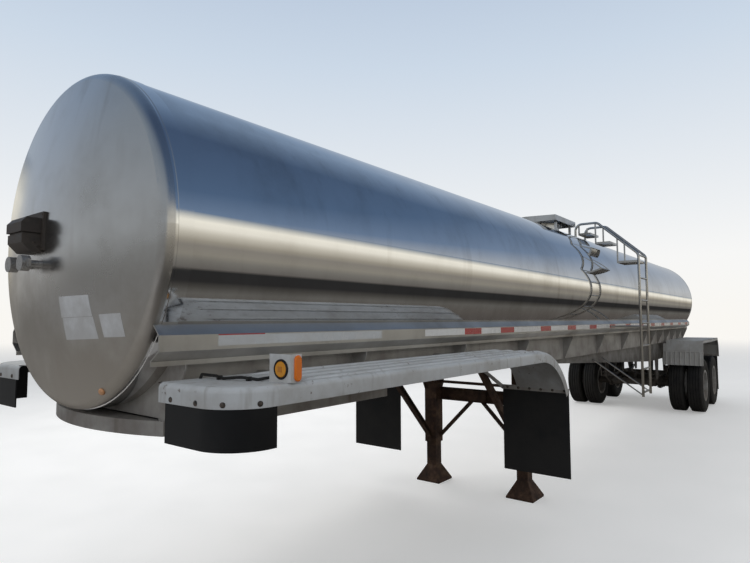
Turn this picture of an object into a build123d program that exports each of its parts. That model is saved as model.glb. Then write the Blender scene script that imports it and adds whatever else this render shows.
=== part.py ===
from build123d import *
import math
import os

# Tank semi-trailer standing on its landing legs and its tandem axles, with no tractor.
# Millimetres: +X to the front, +Y to the left, +Z up, ground at z = 0.
# A station is a distance behind the front rim of the tank. Forward of the rim it is negative.

# Tank, which hangs just clear of the frame's underside
FRAME_BOTTOM_Z = 1355
TANK_CLEARANCE = 25
TANK_RADIUS = 850
TANK_AXIS_Z = FRAME_BOTTOM_Z + TANK_CLEARANCE + TANK_RADIUS
TANK_TOP_Z = TANK_AXIS_Z + TANK_RADIUS
TANK_LENGTH = 13050
HEAD_DEPTH = 200
HEAD_FLANGE = 25
HEAD_KNUCKLE = 60
BAND_THICKNESS = 3
BAND_EDGE = 62

# Axles and overall reach, which centres the vehicle on the origin
AXLE_AHEAD = 1650
AXLE_STATION = TANK_LENGTH - AXLE_AHEAD
AXLE_SPREAD = 1270
REAR_AXLE_STATION = AXLE_STATION + AXLE_SPREAD
NOSE_DEPTH = 165
BUMPER_BEHIND = 770
BUMPER_STATION = REAR_AXLE_STATION + BUMPER_BEHIND
HALF_WIDTH = 1295

# Side rails, folded from one sheet: ledge, face, bevel and lip
SHEET = 5
RAIL_START = -50
RAIL_DROP = 472
RAIL_STAND_OFF = 73
RAIL_FACE_HEIGHT = 70
RAIL_BEVEL_IN = 60
RAIL_BEVEL_DOWN = 44
RAIL_LIP_DOWN = 22
LEDGE_RISE = 46
SEAT_SINK = 30

# Frame
FRAME_Y = 600
FRAME_START = 120
FRAME_PAST = 100
FRAME_END = TANK_LENGTH + FRAME_PAST
WEB = 8
FLANGE_WIDTH = 90
FLANGE_THICKNESS = 10
GUSSET_COUNT = 11
GUSSET_THICKNESS = 8
SADDLE_THICKNESS = 10

# Coupler
COUPLER_BOTTOM_Z = 1285
COUPLER_PLATE = 12
COUPLER_HALF_WIDTH = 560
COUPLER_LENGTH = 1850
COUPLER_BOW = 115
KINGPIN_SETBACK = 915
KINGPIN_BAY = 160
KINGPIN_SHANK_RADIUS = 25.4
KINGPIN_FLANGE_RADIUS = 35.7
KINGPIN_COLLAR_RADIUS = 44.5
KINGPIN_COLLAR = 30
KINGPIN_GROOVE = 33
KINGPIN_FLANGE = 21

# Landing gear
LEG_STATION = 4240
LEG_Y = 545
LEG_OUTER = 146
LEG_INNER = 118
LEG_OUTER_BOTTOM_Z = 430
SHOE_TOP_Z = 175
SHOE_BASE = 290
SHOE_EDGE = 18
BRACE_RADIUS = 22
BRACE_RISE = 20
BRACE_BOX_HALF = 110
CHANNEL_DROP = 70
CHANNEL_HEIGHT = 140
CHANNEL_SETBACK = 20
CHANNEL_FRONT = 10
CHANNEL_WALL = 10
STRUT_FOOT = 90
STRUT_INSET = 30
STRUT_RUN = 780
STRUT_RISE = 40
SHAFT_RADIUS = 16
SHAFT_SETBACK = 40
SHAFT_Z = 1120
GEARBOX = 150
CRANK_RADIUS = 11
CRANK_THROW = 260
CRANK_STUB = 150
CRANK_HANDLE = 120
CRANK_SINK = 20

# Front fenders
FENDER_SHEET = 4
FENDER_FRONT = -25
FENDER_TOP_Z = 1560
FENDER_LIP = 84
FENDER_OUTER_Y = 1235
FENDER_INNER_Y = 745
FENDER_CORNER = 210
FENDER_BEND_START = 3030
FENDER_BEND_RADIUS = 700
FENDER_END_Z = 1185
FENDER_ARMS = (650, 2420)
FENDER_ARM_RADIUS = 25
FENDER_ARMS_SHORT = 100
FENDER_ARM_SINK = 1

# Rubber skirt and flaps
RUBBER = 10
SKIRT_BOTTOM_Z = 1310
SKIRT_INNER_Y = 790
FLAP_INNER_Y = 600
FLAP_OUTER_Y = 1225
FLAP_TOP_Z = 1180
FLAP_BOTTOM_Z = 420

# Wheels
TYRE_RADIUS = 518
TYRE_WIDTH = 279
TREAD_WIDTH = 218
RIM_RADIUS = 286
RIM_FLANGE_RADIUS = 304
RIM_BARREL_RADIUS = 262
RIM_WIDTH = 226
DUAL_SPACING = 324
DISC = 12
DISC_HOLE_COUNT = 10
DISC_HOLE_RADIUS = 24
DISC_HOLE_CIRCLE = 205
HUB_RADIUS = 122
HUB_REACH = 150
HUB_CAP_RADIUS = 82
HUB_CAP_REACH = 42
DRUM_RADIUS = 226
DRUM_REACH = 205
DRUM_WALL = 22

# Axles and suspension
AXLE_RADIUS = 63.5
SPINDLE_RADIUS = 42
SPINDLE_CLEARANCE = 0.5
SPRING_Y = 470
SPRING_WIDTH = 75
SPRING_HALF_SPAN = 525
SPRING_LEAF = 16
SPRING_LEAVES = 3
SPRING_CAMBER = 62
SPRING_SEAT = 30
SUBFRAME_Y = 520
SUBFRAME_START = 4900
SUBFRAME_FULL_AHEAD = 1150
SUBFRAME_FULL = AXLE_STATION - SUBFRAME_FULL_AHEAD
SUBFRAME_SHORT = 40
SUBFRAME_END = BUMPER_STATION - SUBFRAME_SHORT
SUBFRAME_BOTTOM_Z = 1035
SUBFRAME_FLANGE = 100
HANGER_WIDTH = 105
HANGER_LENGTH = 150
HANGER_WALL = 12
HANGER_BOTTOM_Z = 640
CROSS_WIDTH = 90
CROSS_HEIGHT = 110
CHAMBER_RADIUS = 82
CHAMBER_LENGTH = 150
CHAMBER_Y = 265
RESERVOIR_RADIUS = 120
RESERVOIR_LENGTH = 760
RESERVOIR_AHEAD = 1250
RESERVOIR_STATION = AXLE_STATION - RESERVOIR_AHEAD
RESERVOIR_BRACKET = 10

# Rear fenders
REAR_FENDER_AHEAD = 435
REAR_FENDER_START = AXLE_STATION - REAR_FENDER_AHEAD
REAR_FENDER_END = SUBFRAME_END
REAR_FENDER_TOP_Z = 1405
REAR_FENDER_FOLD_Z = 1180
REAR_FENDER_BOTTOM_Z = 925
REAR_FENDER_INNER_Y = 606
REAR_FENDER_CHAMFER = 150
REAR_FENDER_LEAN = 60
REAR_FENDER_GAP = 10
REAR_FENDER_BAR_AHEAD = 100
REAR_FENDER_BAR_BEHIND = 230
REAR_FENDER_BARS = (AXLE_STATION - REAR_FENDER_BAR_AHEAD, REAR_AXLE_STATION + REAR_FENDER_BAR_BEHIND)
REAR_FENDER_BAR = 40
REAR_FLAP_BEHIND = 112
REAR_FLAP_STATION = REAR_AXLE_STATION + TYRE_RADIUS + REAR_FLAP_BEHIND
REAR_FLAP_BOTTOM_Z = 260
REAR_FLAP_TOP_Z = 1000
REAR_FLAP_BAR = 40
REAR_FLAP_INNER_Y = 700
REAR_FLAP_SHORT = 25

# Rear bumper and lamps
BUMPER_Z = 560
BUMPER_SIZE = 102
BUMPER_HALF_LENGTH = 1180
BUMPER_POST_WIDTH = 80
LAMP_RADIUS = 52
LAMP_PROUD = 14
LAMP_BOX_WIDTH = 330
LAMP_BOX_HEIGHT = 120
LAMP_BOX_DEPTH = 70
LAMP_BOX_Z = 920

# Ladder
LADDER_STATION = 6915
LADDER_BEND_DROP = 380
LADDER_RISE = 96
LADDER_WIDTH = 430
LADDER_Y = 1165
LADDER_TUBE = 16.5
RUNG_RADIUS = 12.5
RUNG_PITCH = 304.8
RUNG_BOTTOM_Z = 855
RUNG_COUNT = 7
LADDER_FOOT_Z = 800
LADDER_BEND_Z = TANK_TOP_Z - LADDER_BEND_DROP
LADDER_TOP_Y = 640
LADDER_TOP_Z = TANK_TOP_Z + LADDER_RISE
LADDER_END_Y = 340
LADDER_BEND_RADIUS = 90
TREAD_PLATE = 28
TREAD_POST = 9
LADDER_STRUT = 9
LADDER_BRACE_Z = 1275

# Manhole
MANHOLE_STATION = 6125
NECK_RADIUS = 290
NECK_RISE = 18
NECK_TOP_Z = TANK_TOP_Z + NECK_RISE
COVER_RADIUS = 318
COVER_EDGE = 14
COVER_RISE = 30
LID_LENGTH = 780
LID_HALF_WIDTH = 400
LID_RISE = 116
LID_TOP_Z = TANK_TOP_Z + LID_RISE
LID_SIDE = 84
LID_SHEET = 4
LID_RIDGE = 14
LID_GAP = 6
HINGE_OUT = 26
HINGE_RADIUS = 9
HINGE_CLEARANCE = 0.5
HINGE_BARREL = 17
REST_GAP = 8
HINGE_LENGTH = 60
STAND_POST = 14

# Nose box, air couplings and fender lamps
NOSE_BOX_Y = -110
NOSE_BOX_RISE = 10
NOSE_BOX_Z = TANK_AXIS_Z + NOSE_BOX_RISE
NOSE_BOX_WIDTH = 180
NOSE_BOX_HEIGHT = 170
NOSE_FLANGE = 10
NOSE_FLANGE_WIDTH = 220
NOSE_FLANGE_HEIGHT = 190
NOSE_FLANGE_RISE = 22
NOSE_CHAMFER = 28
GLADHAND_RADIUS = 38
GLADHAND_SPREAD = 70
GLADHAND_DROP = 140
GLADHAND_Z = NOSE_BOX_Z - GLADHAND_DROP
GLADHAND_PIPE = 17
GLADHAND_REACH = 95
LAMP_PLATE_STATION = 285
LAMP_PLATE_WIDTH = 130
LAMP_PLATE_HEIGHT = 118
LAMP_PLATE = 3
SIDE_LENS_WIDTH = 46
SIDE_LENS_HEIGHT = 112
FRONT_LENS_RADIUS = 32
GROMMET_RADIUS = 43

# Outlet
OUTLET_BEHIND = 180
OUTLET_STATION = REAR_AXLE_STATION + OUTLET_BEHIND
OUTLET_RADIUS = 75
OUTLET_Z = 1170
OUTLET_REACH = 330
OUTLET_FLANGE = 16
OUTLET_FLANGE_RADIUS = 118

RIM_X = (BUMPER_STATION - HEAD_DEPTH - NOSE_DEPTH) / 2
SIDES = (("left", 1), ("right", -1))


def at(station):
    """x of a station"""
    return RIM_X - station


def bar(x0, x1, y0, y1, z0, z1):
    """box between two corners"""
    centre = Pos((x0 + x1) / 2, (y0 + y1) / 2, (z0 + z1) / 2)
    return centre * Box(abs(x1 - x0), abs(y1 - y0), abs(z1 - z0))


def slab_yz(points, x0, x1):
    """polygon given as (y, z), drawn out from x0 to x1"""
    face = Plane.YZ.offset(min(x0, x1)) * make_face(Polyline(*points, close=True))
    return extrude(face, abs(x1 - x0))


def slab_xz(points, y0, y1):
    """polygon given as (x, z), drawn out from y0 to y1"""
    face = Plane.XZ.offset(-max(y0, y1)) * make_face(Polyline(*points, close=True))
    return extrude(face, abs(y1 - y0))


def slab_xy(points, z0, z1):
    """polygon given as (x, y), drawn up from z0 to z1"""
    face = Plane.XY.offset(z0) * make_face(Polyline(*points, close=True))
    return extrude(face, z1 - z0)


def rod(start, end, radius):
    """round bar between two points"""
    a, b = Vector(*start), Vector(*end)
    plane = Plane(origin=a, z_dir=b - a)
    return plane * Cylinder(radius, (b - a).length, align=(Align.CENTER, Align.CENTER, Align.MIN))


def along_x(radius, x0, x1, y, z):
    """round bar along X"""
    return rod((min(x0, x1), y, z), (max(x0, x1), y, z), radius)


def along_y(radius, y0, y1, x, z):
    """round bar along Y"""
    return rod((x, min(y0, y1), z), (x, max(y0, y1), z), radius)


def bent_tube(points, bends, radius):
    """round tube along straight runs joined by tangent arcs"""
    path = FilletPolyline(*points, radius=bends)
    start = Plane(origin=path @ 0, z_dir=path % 0)
    return sweep(start * Circle(radius), path=path)


def folded(points, thickness):
    """outline of a folded sheet: the given line and its parallel, thickness to the right of it"""
    inner = []
    for i, here in enumerate(points):
        dirs = []
        if i > 0:
            dirs.append((Vector(*here) - Vector(*points[i - 1])).normalized())
        if i < len(points) - 1:
            dirs.append((Vector(*points[i + 1]) - Vector(*here)).normalized())
        normals = [Vector(d.Y, -d.X) for d in dirs]
        total = normals[0] + normals[-1]
        miter = total * (2 * thickness / total.length**2) if len(normals) > 1 else normals[0] * thickness
        inner.append((here[0] + miter.X, here[1] + miter.Y))
    return list(points) + inner[::-1]


def mirrored(shape):
    """the same piece on the other side of the vehicle"""
    return shape.mirror(Plane.XZ)


def on_side(shape, side):
    return shape if side > 0 else mirrored(shape)


def ring(profile, x, z):
    """closed (radius, y) profile turned about the wheel axis at x, z"""
    face = make_face(Polyline(*profile, close=True))
    return Pos(x, 0, z) * revolve(face, Axis.Y)


def tank_solid(radius=TANK_RADIUS, reach=400):
    """the round tank with extra length at both ends, for cutting what seats on it"""
    return along_x(radius, at(-reach), at(TANK_LENGTH + reach), 0, TANK_AXIS_Z)


def tank_y(z):
    """half width of the tank at height z"""
    return math.sqrt(TANK_RADIUS**2 - (TANK_AXIS_Z - z) ** 2)


def tank_z(y):
    """height of the tank's underside at y"""
    return TANK_AXIS_Z - math.sqrt(TANK_RADIUS**2 - y**2)


NODES = {}
TANK_CUT = tank_solid()


# Tank shell and its heads, each with a rolled band that laps the shell

def head():
    """dished head opening at x = 0 and bulging to HEAD_DEPTH, its knuckle tangent to the dish"""
    run = HEAD_FLANGE - HEAD_DEPTH
    knuckle_r = TANK_RADIUS - HEAD_KNUCKLE
    dish = (run**2 + knuckle_r**2 - HEAD_KNUCKLE**2) / (-2 * (run + HEAD_KNUCKLE))
    centre = HEAD_DEPTH - dish
    reach = math.hypot(HEAD_FLANGE - centre, knuckle_r)
    ux, ur = (HEAD_FLANGE - centre) / reach, knuckle_r / reach
    tangent = (centre + dish * ux, dish * ur)
    half = math.atan2(ur, ux) / 2
    middle = (centre + dish * math.cos(half), dish * math.sin(half))
    turn = (math.atan2(ur, ux) + math.pi / 2) / 2
    knuckle = (HEAD_FLANGE + HEAD_KNUCKLE * math.cos(turn), knuckle_r + HEAD_KNUCKLE * math.sin(turn))
    outline = Wire([
        Line((0, 0), (0, TANK_RADIUS)),
        Line((0, TANK_RADIUS), (HEAD_FLANGE, TANK_RADIUS)),
        ThreePointArc((HEAD_FLANGE, TANK_RADIUS), knuckle, tangent),
        ThreePointArc(tangent, middle, (HEAD_DEPTH, 0)),
        Line((HEAD_DEPTH, 0), (0, 0)),
    ])
    return revolve(Face(outline), Axis.X)


def end_band(rim, inward):
    """solid disc as wide as the rolled band that laps the shell at one end"""
    return along_x(TANK_RADIUS + BAND_THICKNESS, rim - inward * HEAD_FLANGE / 2, rim + inward * BAND_EDGE,
                   0, TANK_AXIS_Z)


shell = along_x(TANK_RADIUS, at(0), at(TANK_LENGTH), 0, TANK_AXIS_Z)
bands = [end_band(at(0), -1), end_band(at(TANK_LENGTH), 1)]
front = Pos(at(0), 0, TANK_AXIS_Z) * head()
rear = Pos(at(TANK_LENGTH), 0, TANK_AXIS_Z) * head().mirror(Plane.YZ)
NODES["tank_shell"] = shell
NODES["front_head"] = (front + bands[0]) - shell
NODES["rear_head"] = (rear + bands[1]) - shell


def seated(shape):
    """what is left of a shape once the tank and its end bands are taken out of it"""
    shape = shape - TANK_CUT
    for band in bands:
        shape = shape - band
    return shape


# Side rails

RAIL_TOP_Z = TANK_AXIS_Z - RAIL_DROP
RAIL_FACE_Y = tank_y(RAIL_TOP_Z) + RAIL_STAND_OFF
RAIL_BOTTOM_Z = RAIL_TOP_Z - RAIL_FACE_HEIGHT
LIP_Y = RAIL_FACE_Y - RAIL_BEVEL_IN
LIP_TOP_Z = RAIL_BOTTOM_Z - RAIL_BEVEL_DOWN
LIP_BOTTOM_Z = LIP_TOP_Z - RAIL_LIP_DOWN
LEDGE_Z = RAIL_TOP_Z + LEDGE_RISE
LEDGE_Y = tank_y(LEDGE_Z)


def side_rail():
    slope = (RAIL_FACE_Y - LEDGE_Y) / LEDGE_RISE
    outline = [
        (LEDGE_Y - SEAT_SINK * slope, LEDGE_Z + SEAT_SINK),
        (RAIL_FACE_Y, RAIL_TOP_Z),
        (RAIL_FACE_Y, RAIL_BOTTOM_Z),
        (LIP_Y, LIP_TOP_Z),
        (LIP_Y, LIP_BOTTOM_Z),
    ]
    return seated(slab_yz(folded(outline, SHEET), at(TANK_LENGTH), at(RAIL_START)))


rail = side_rail()
for name, side in SIDES:
    NODES[f"side_rail_{name}"] = on_side(rail, side)


# Frame rails with their gussets out to the side rails, and the saddles between them

GUSSET_PITCH = (FRAME_END - FRAME_START - GUSSET_THICKNESS) / (GUSSET_COUNT - 1)
SADDLE_STATIONS = [FRAME_START + GUSSET_THICKNESS / 2 + i * GUSSET_PITCH for i in range(GUSSET_COUNT)]
GUSSET_Y = LIP_Y - SHEET


def frame_rail():
    top = tank_z(FRAME_Y) + 2 * SEAT_SINK
    web = bar(at(FRAME_START), at(FRAME_END), FRAME_Y - WEB, FRAME_Y, FRAME_BOTTOM_Z, top)
    flange = bar(at(FRAME_START), at(FRAME_END), FRAME_Y - FLANGE_WIDTH, FRAME_Y,
                 FRAME_BOTTOM_Z, FRAME_BOTTOM_Z + FLANGE_THICKNESS)
    beam = web + flange
    for station in SADDLE_STATIONS:
        outline = [
            (FRAME_Y - WEB / 2, FRAME_BOTTOM_Z),
            (FRAME_Y + FLANGE_THICKNESS, FRAME_BOTTOM_Z),
            (GUSSET_Y, LIP_BOTTOM_Z - RAIL_LIP_DOWN),
            (GUSSET_Y, LIP_TOP_Z),
            (FRAME_Y - WEB / 2, LIP_TOP_Z),
        ]
        x = at(station)
        beam += slab_yz(outline, x - GUSSET_THICKNESS / 2, x + GUSSET_THICKNESS / 2)
    return seated(beam)


beam = frame_rail()
for name, side in SIDES:
    NODES[f"frame_rail_{name}"] = on_side(beam, side)

saddles = []
for station in SADDLE_STATIONS:
    x = at(station)
    inner = FRAME_Y - WEB
    top = tank_z(inner) + SEAT_SINK
    low = FRAME_BOTTOM_Z + FLANGE_THICKNESS
    plate = bar(x - SADDLE_THICKNESS / 2, x + SADDLE_THICKNESS / 2, -inner, inner, low, top)
    saddles.append(seated(plate))
NODES["tank_saddles"] = Compound(saddles)


# Upper coupler and kingpin

def coupler():
    front, back = at(0), at(COUPLER_LENGTH)
    corner = at(COUPLER_BOW)
    half = COUPLER_HALF_WIDTH
    outline = Wire([
        Line((back, -half), (corner, -half)),
        ThreePointArc((corner, -half), (front, 0), (corner, half)),
        Line((corner, half), (back, half)),
        Line((back, half), (back, -half)),
    ])
    block = Plane.XY.offset(COUPLER_BOTTOM_Z) * extrude(Face(outline), FRAME_BOTTOM_Z - COUPLER_BOTTOM_Z)
    hollow_low = COUPLER_BOTTOM_Z + COUPLER_PLATE
    wall = FLANGE_THICKNESS
    bays = []
    bay_edges = [at(COUPLER_BOW + wall), at(KINGPIN_SETBACK - KINGPIN_BAY), at(KINGPIN_SETBACK + KINGPIN_BAY), back + wall]
    for x1, x0 in zip(bay_edges[:-1], bay_edges[1:]):
        for y0, y1 in ((-half + wall, -wall / 2), (wall / 2, half - wall)):
            bays.append(bar(x0 + wall / 2, x1 - wall / 2, y0, y1, hollow_low, FRAME_BOTTOM_Z + 1))
    for bay in bays:
        block -= bay
    pin_axis = (at(KINGPIN_SETBACK), 0)
    return block - rod((*pin_axis, COUPLER_BOTTOM_Z), (*pin_axis, hollow_low), KINGPIN_COLLAR_RADIUS)


NODES["upper_coupler"] = coupler()

PIN_X = at(KINGPIN_SETBACK)
PIN_TOP_Z = COUPLER_BOTTOM_Z
pin_profile = [
    (0, COUPLER_PLATE),
    (KINGPIN_COLLAR_RADIUS, COUPLER_PLATE),
    (KINGPIN_COLLAR_RADIUS, -KINGPIN_COLLAR / 3),
    (KINGPIN_FLANGE_RADIUS, -KINGPIN_COLLAR),
    (KINGPIN_SHANK_RADIUS, -KINGPIN_COLLAR),
    (KINGPIN_SHANK_RADIUS, -KINGPIN_COLLAR - KINGPIN_GROOVE),
    (KINGPIN_FLANGE_RADIUS, -KINGPIN_COLLAR - KINGPIN_GROOVE),
    (KINGPIN_FLANGE_RADIUS, -KINGPIN_COLLAR - KINGPIN_GROOVE - KINGPIN_FLANGE),
    (0, -KINGPIN_COLLAR - KINGPIN_GROOVE - KINGPIN_FLANGE),
]
pin = revolve(Plane.XZ * make_face(Polyline(*pin_profile, close=True)), Axis.Z)
NODES["kingpin"] = Pos(PIN_X, 0, PIN_TOP_Z) * pin


# Landing gear

LEG_X = at(LEG_STATION)


def landing_leg():
    half_out, half_in = LEG_OUTER / 2, LEG_INNER / 2
    outer = bar(LEG_X - half_out, LEG_X + half_out, LEG_Y - half_out, LEG_Y + half_out,
                LEG_OUTER_BOTTOM_Z, FRAME_BOTTOM_Z)
    foot_z = LEG_OUTER_BOTTOM_Z + LEG_OUTER
    outer -= bar(LEG_X - half_in, LEG_X + half_in, LEG_Y - half_in, LEG_Y + half_in,
                 LEG_OUTER_BOTTOM_Z - 1, foot_z)
    inner = bar(LEG_X - half_in, LEG_X + half_in, LEG_Y - half_in, LEG_Y + half_in, SHOE_TOP_Z, foot_z)
    base = Plane.XY.offset(SHOE_EDGE) * Pos(LEG_X, LEG_Y) * Rectangle(SHOE_BASE, SHOE_BASE)
    crown = Plane.XY.offset(SHOE_TOP_Z) * Pos(LEG_X, LEG_Y) * Rectangle(LEG_INNER, LEG_INNER)
    shoe = loft([base.faces()[0], crown.faces()[0]])
    pad = bar(LEG_X - SHOE_BASE / 2, LEG_X + SHOE_BASE / 2, LEG_Y - SHOE_BASE / 2, LEG_Y + SHOE_BASE / 2,
              0, SHOE_EDGE)
    return outer + inner + shoe + pad


leg = landing_leg()
for name, side in SIDES:
    NODES[f"landing_leg_{name}"] = on_side(leg, side)

LEG_INSIDE_Y = LEG_Y - LEG_OUTER / 2
BRACE_LOW_Z = LEG_OUTER_BOTTOM_Z + 2 * BRACE_RADIUS + BRACE_RISE


def landing_braces():
    """cross channel between the legs, with a block in its middle that two slanting tubes run up to"""
    box_top = SHAFT_Z - CHANNEL_DROP
    box_low = box_top - CHANNEL_HEIGHT
    back = LEG_X - LEG_OUTER / 2 + CHANNEL_SETBACK
    face = LEG_X - CHANNEL_FRONT
    cross = bar(back, face, -LEG_INSIDE_Y, LEG_INSIDE_Y, box_low, box_top)
    cut = bar(back + CHANNEL_WALL, face + CHANNEL_WALL, -LEG_INSIDE_Y - 1, LEG_INSIDE_Y + 1,
              box_low + CHANNEL_WALL, box_top - CHANNEL_WALL)
    frame = cross - cut
    frame += bar(back, face, -BRACE_BOX_HALF, BRACE_BOX_HALF, box_low, box_top)
    brace_x = back + BRACE_RADIUS
    for side in (1, -1):
        leg_end = (brace_x, side * (LEG_INSIDE_Y + BRACE_RISE), BRACE_LOW_Z)
        strut = rod(leg_end, (brace_x, side * BRACE_BOX_HALF / 2, box_low + BRACE_RISE), BRACE_RADIUS)
        strut -= bar(LEG_X - LEG_OUTER, LEG_X + LEG_OUTER, side * LEG_INSIDE_Y, side * (LEG_INSIDE_Y + LEG_OUTER),
                     0, FRAME_BOTTOM_Z)
        frame += strut
    return frame


def landing_struts(side):
    """slanting strut from the foot of the outer tube back to the frame flange"""
    y = side * LEG_Y
    back = LEG_X - LEG_OUTER / 2
    low = (back + STRUT_INSET, y, LEG_OUTER_BOTTOM_Z + STRUT_FOOT)
    high = (back - STRUT_RUN, y, FRAME_BOTTOM_Z + STRUT_RISE)
    strut = rod(low, high, BRACE_RADIUS)
    strut -= bar(back, back + 2 * LEG_OUTER, y - LEG_OUTER, y + LEG_OUTER, 0, FRAME_BOTTOM_Z)
    return strut - bar(back - 2 * STRUT_RUN, back, y - LEG_OUTER, y + LEG_OUTER, FRAME_BOTTOM_Z,
                       FRAME_BOTTOM_Z + LEG_OUTER)


NODES["landing_braces"] = Compound([landing_braces(), landing_struts(1), landing_struts(-1)])


def landing_drive():
    """cross shaft, gearbox on the left leg and the folded crank"""
    shaft_x = LEG_X + LEG_OUTER / 2 - SHAFT_SETBACK
    shaft = along_y(SHAFT_RADIUS, -LEG_INSIDE_Y, LEG_INSIDE_Y, shaft_x, SHAFT_Z)
    outside = LEG_Y + LEG_OUTER / 2
    box = bar(LEG_X - GEARBOX / 2, LEG_X + GEARBOX / 2, outside, outside + GEARBOX / 2,
              SHAFT_Z - GEARBOX / 2, SHAFT_Z + GEARBOX / 2)
    box = fillet(box.edges().filter_by(Axis.Y), GEARBOX / 6)
    stub_end = outside + GEARBOX / 2 + CRANK_STUB
    crank = bent_tube(
        [
            (LEG_X, outside + GEARBOX / 2 - CRANK_SINK, SHAFT_Z),
            (LEG_X, stub_end, SHAFT_Z),
            (LEG_X, stub_end, SHAFT_Z - CRANK_THROW),
            (LEG_X, stub_end - CRANK_HANDLE, SHAFT_Z - CRANK_THROW),
        ],
        3 * CRANK_RADIUS,
        CRANK_RADIUS,
    )
    return Compound([shaft, box + crank])


NODES["landing_drive"] = landing_drive()


# Front fenders over the tractor's drive wheels, of ridged sheet with a turned-down lip

def front_fender():
    drop = FENDER_TOP_Z - FENDER_END_Z
    sweep_angle = math.degrees(math.acos(1 - drop / FENDER_BEND_RADIUS))
    x0, x1 = at(FENDER_BEND_START), at(FENDER_FRONT)
    y0, y1 = FENDER_INNER_Y, FENDER_OUTER_Y
    lip_z = FENDER_TOP_Z - FENDER_LIP
    level = bar(x0, x1, y0, y1, lip_z, FENDER_TOP_Z)
    corner = level.edges().filter_by(Axis.Z).group_by(Axis.X)[-1].sort_by(Axis.Y)[-1]
    level = fillet(corner, FENDER_CORNER)
    hollow = bar(x0, x1 - FENDER_SHEET, y0, y1 - FENDER_SHEET, lip_z, FENDER_TOP_Z - FENDER_SHEET)
    inner_corner = hollow.edges().filter_by(Axis.Z).group_by(Axis.X)[-1].sort_by(Axis.Y)[-1]
    hollow = fillet(inner_corner, FENDER_CORNER - FENDER_SHEET)
    level -= hollow

    def bent(outer, inner, ya, yb):
        """ring sector of the bend between two radii, from ya to yb"""
        centre_z = FENDER_TOP_Z - FENDER_BEND_RADIUS

        def spot(radius, degrees):
            angle = math.radians(degrees)
            return (x0 - radius * math.sin(angle), centre_z + radius * math.cos(angle))

        outline = Wire([
            ThreePointArc(spot(outer, 0), spot(outer, sweep_angle / 2), spot(outer, sweep_angle)),
            Line(spot(outer, sweep_angle), spot(inner, sweep_angle)),
            ThreePointArc(spot(inner, sweep_angle), spot(inner, sweep_angle / 2), spot(inner, 0)),
            Line(spot(inner, 0), spot(outer, 0)),
        ])
        return extrude(Plane.XZ.offset(-yb) * Face(outline), yb - ya)

    radius = FENDER_BEND_RADIUS
    curve = bent(radius, radius - FENDER_SHEET, y0, y1)
    curve += bent(radius, radius - FENDER_LIP, y1 - FENDER_SHEET, y1)
    return level + curve


def fender_arms():
    """two round arms from the frame rail out under the fender, let into its top sheet"""
    arms = []
    for station in FENDER_ARMS:
        z = FENDER_TOP_Z - FENDER_ARM_RADIUS - FENDER_ARM_SINK
        arms.append(along_y(FENDER_ARM_RADIUS, FRAME_Y, FENDER_OUTER_Y - FENDER_ARMS_SHORT, at(station), z))
    return arms[0] + arms[1]


fender = front_fender() + fender_arms()
for name, side in SIDES:
    NODES[f"front_fender_{name}"] = on_side(fender, side)


def front_skirt():
    """rubber strip behind the front lip, bent round the fender's corner"""
    top = FENDER_TOP_Z - FENDER_SHEET
    x0 = at(FENDER_FRONT + FENDER_CORNER) - FENDER_LIP / 4
    x1 = at(FENDER_FRONT) - FENDER_SHEET
    y1 = FENDER_OUTER_Y - FENDER_SHEET
    outer = bar(x0, x1, SKIRT_INNER_Y, y1, SKIRT_BOTTOM_Z, top)
    edge = outer.edges().filter_by(Axis.Z).group_by(Axis.X)[-1].sort_by(Axis.Y)[-1]
    outer = fillet(edge, FENDER_CORNER - FENDER_SHEET)
    inner = bar(x0 - 1, x1 - RUBBER, SKIRT_INNER_Y - 1, y1 - RUBBER, SKIRT_BOTTOM_Z - 1, top + 1)
    edge = inner.edges().filter_by(Axis.Z).group_by(Axis.X)[-1].sort_by(Axis.Y)[-1]
    inner = fillet(edge, FENDER_CORNER - FENDER_SHEET - RUBBER)
    return outer - inner


skirt = front_skirt()
NODES["front_skirts"] = Compound([skirt, mirrored(skirt)])

FENDER_SWEEP = math.acos(1 - (FENDER_TOP_Z - FENDER_END_Z) / FENDER_BEND_RADIUS)
FENDER_TAIL = FENDER_BEND_START + FENDER_BEND_RADIUS * math.sin(FENDER_SWEEP)
flap_x = at(FENDER_TAIL)
flap = bar(flap_x - RUBBER, flap_x, FLAP_INNER_Y, FLAP_OUTER_Y, FLAP_BOTTOM_Z, FLAP_TOP_Z)
NODES["front_flaps"] = Compound([flap, mirrored(flap)])


# Sub-frame that deepens towards the tandem, with its spring hangers

AXLE_STATIONS = (("front", AXLE_STATION), ("rear", REAR_AXLE_STATION))
AXLE_Z = TYRE_RADIUS
CENTRE_HANGER = AXLE_STATION + AXLE_SPREAD / 2
HANGER_STATIONS = (
    AXLE_STATION - SPRING_HALF_SPAN - HANGER_LENGTH / 3,
    CENTRE_HANGER,
    REAR_AXLE_STATION + SPRING_HALF_SPAN + HANGER_LENGTH / 3,
)


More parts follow.
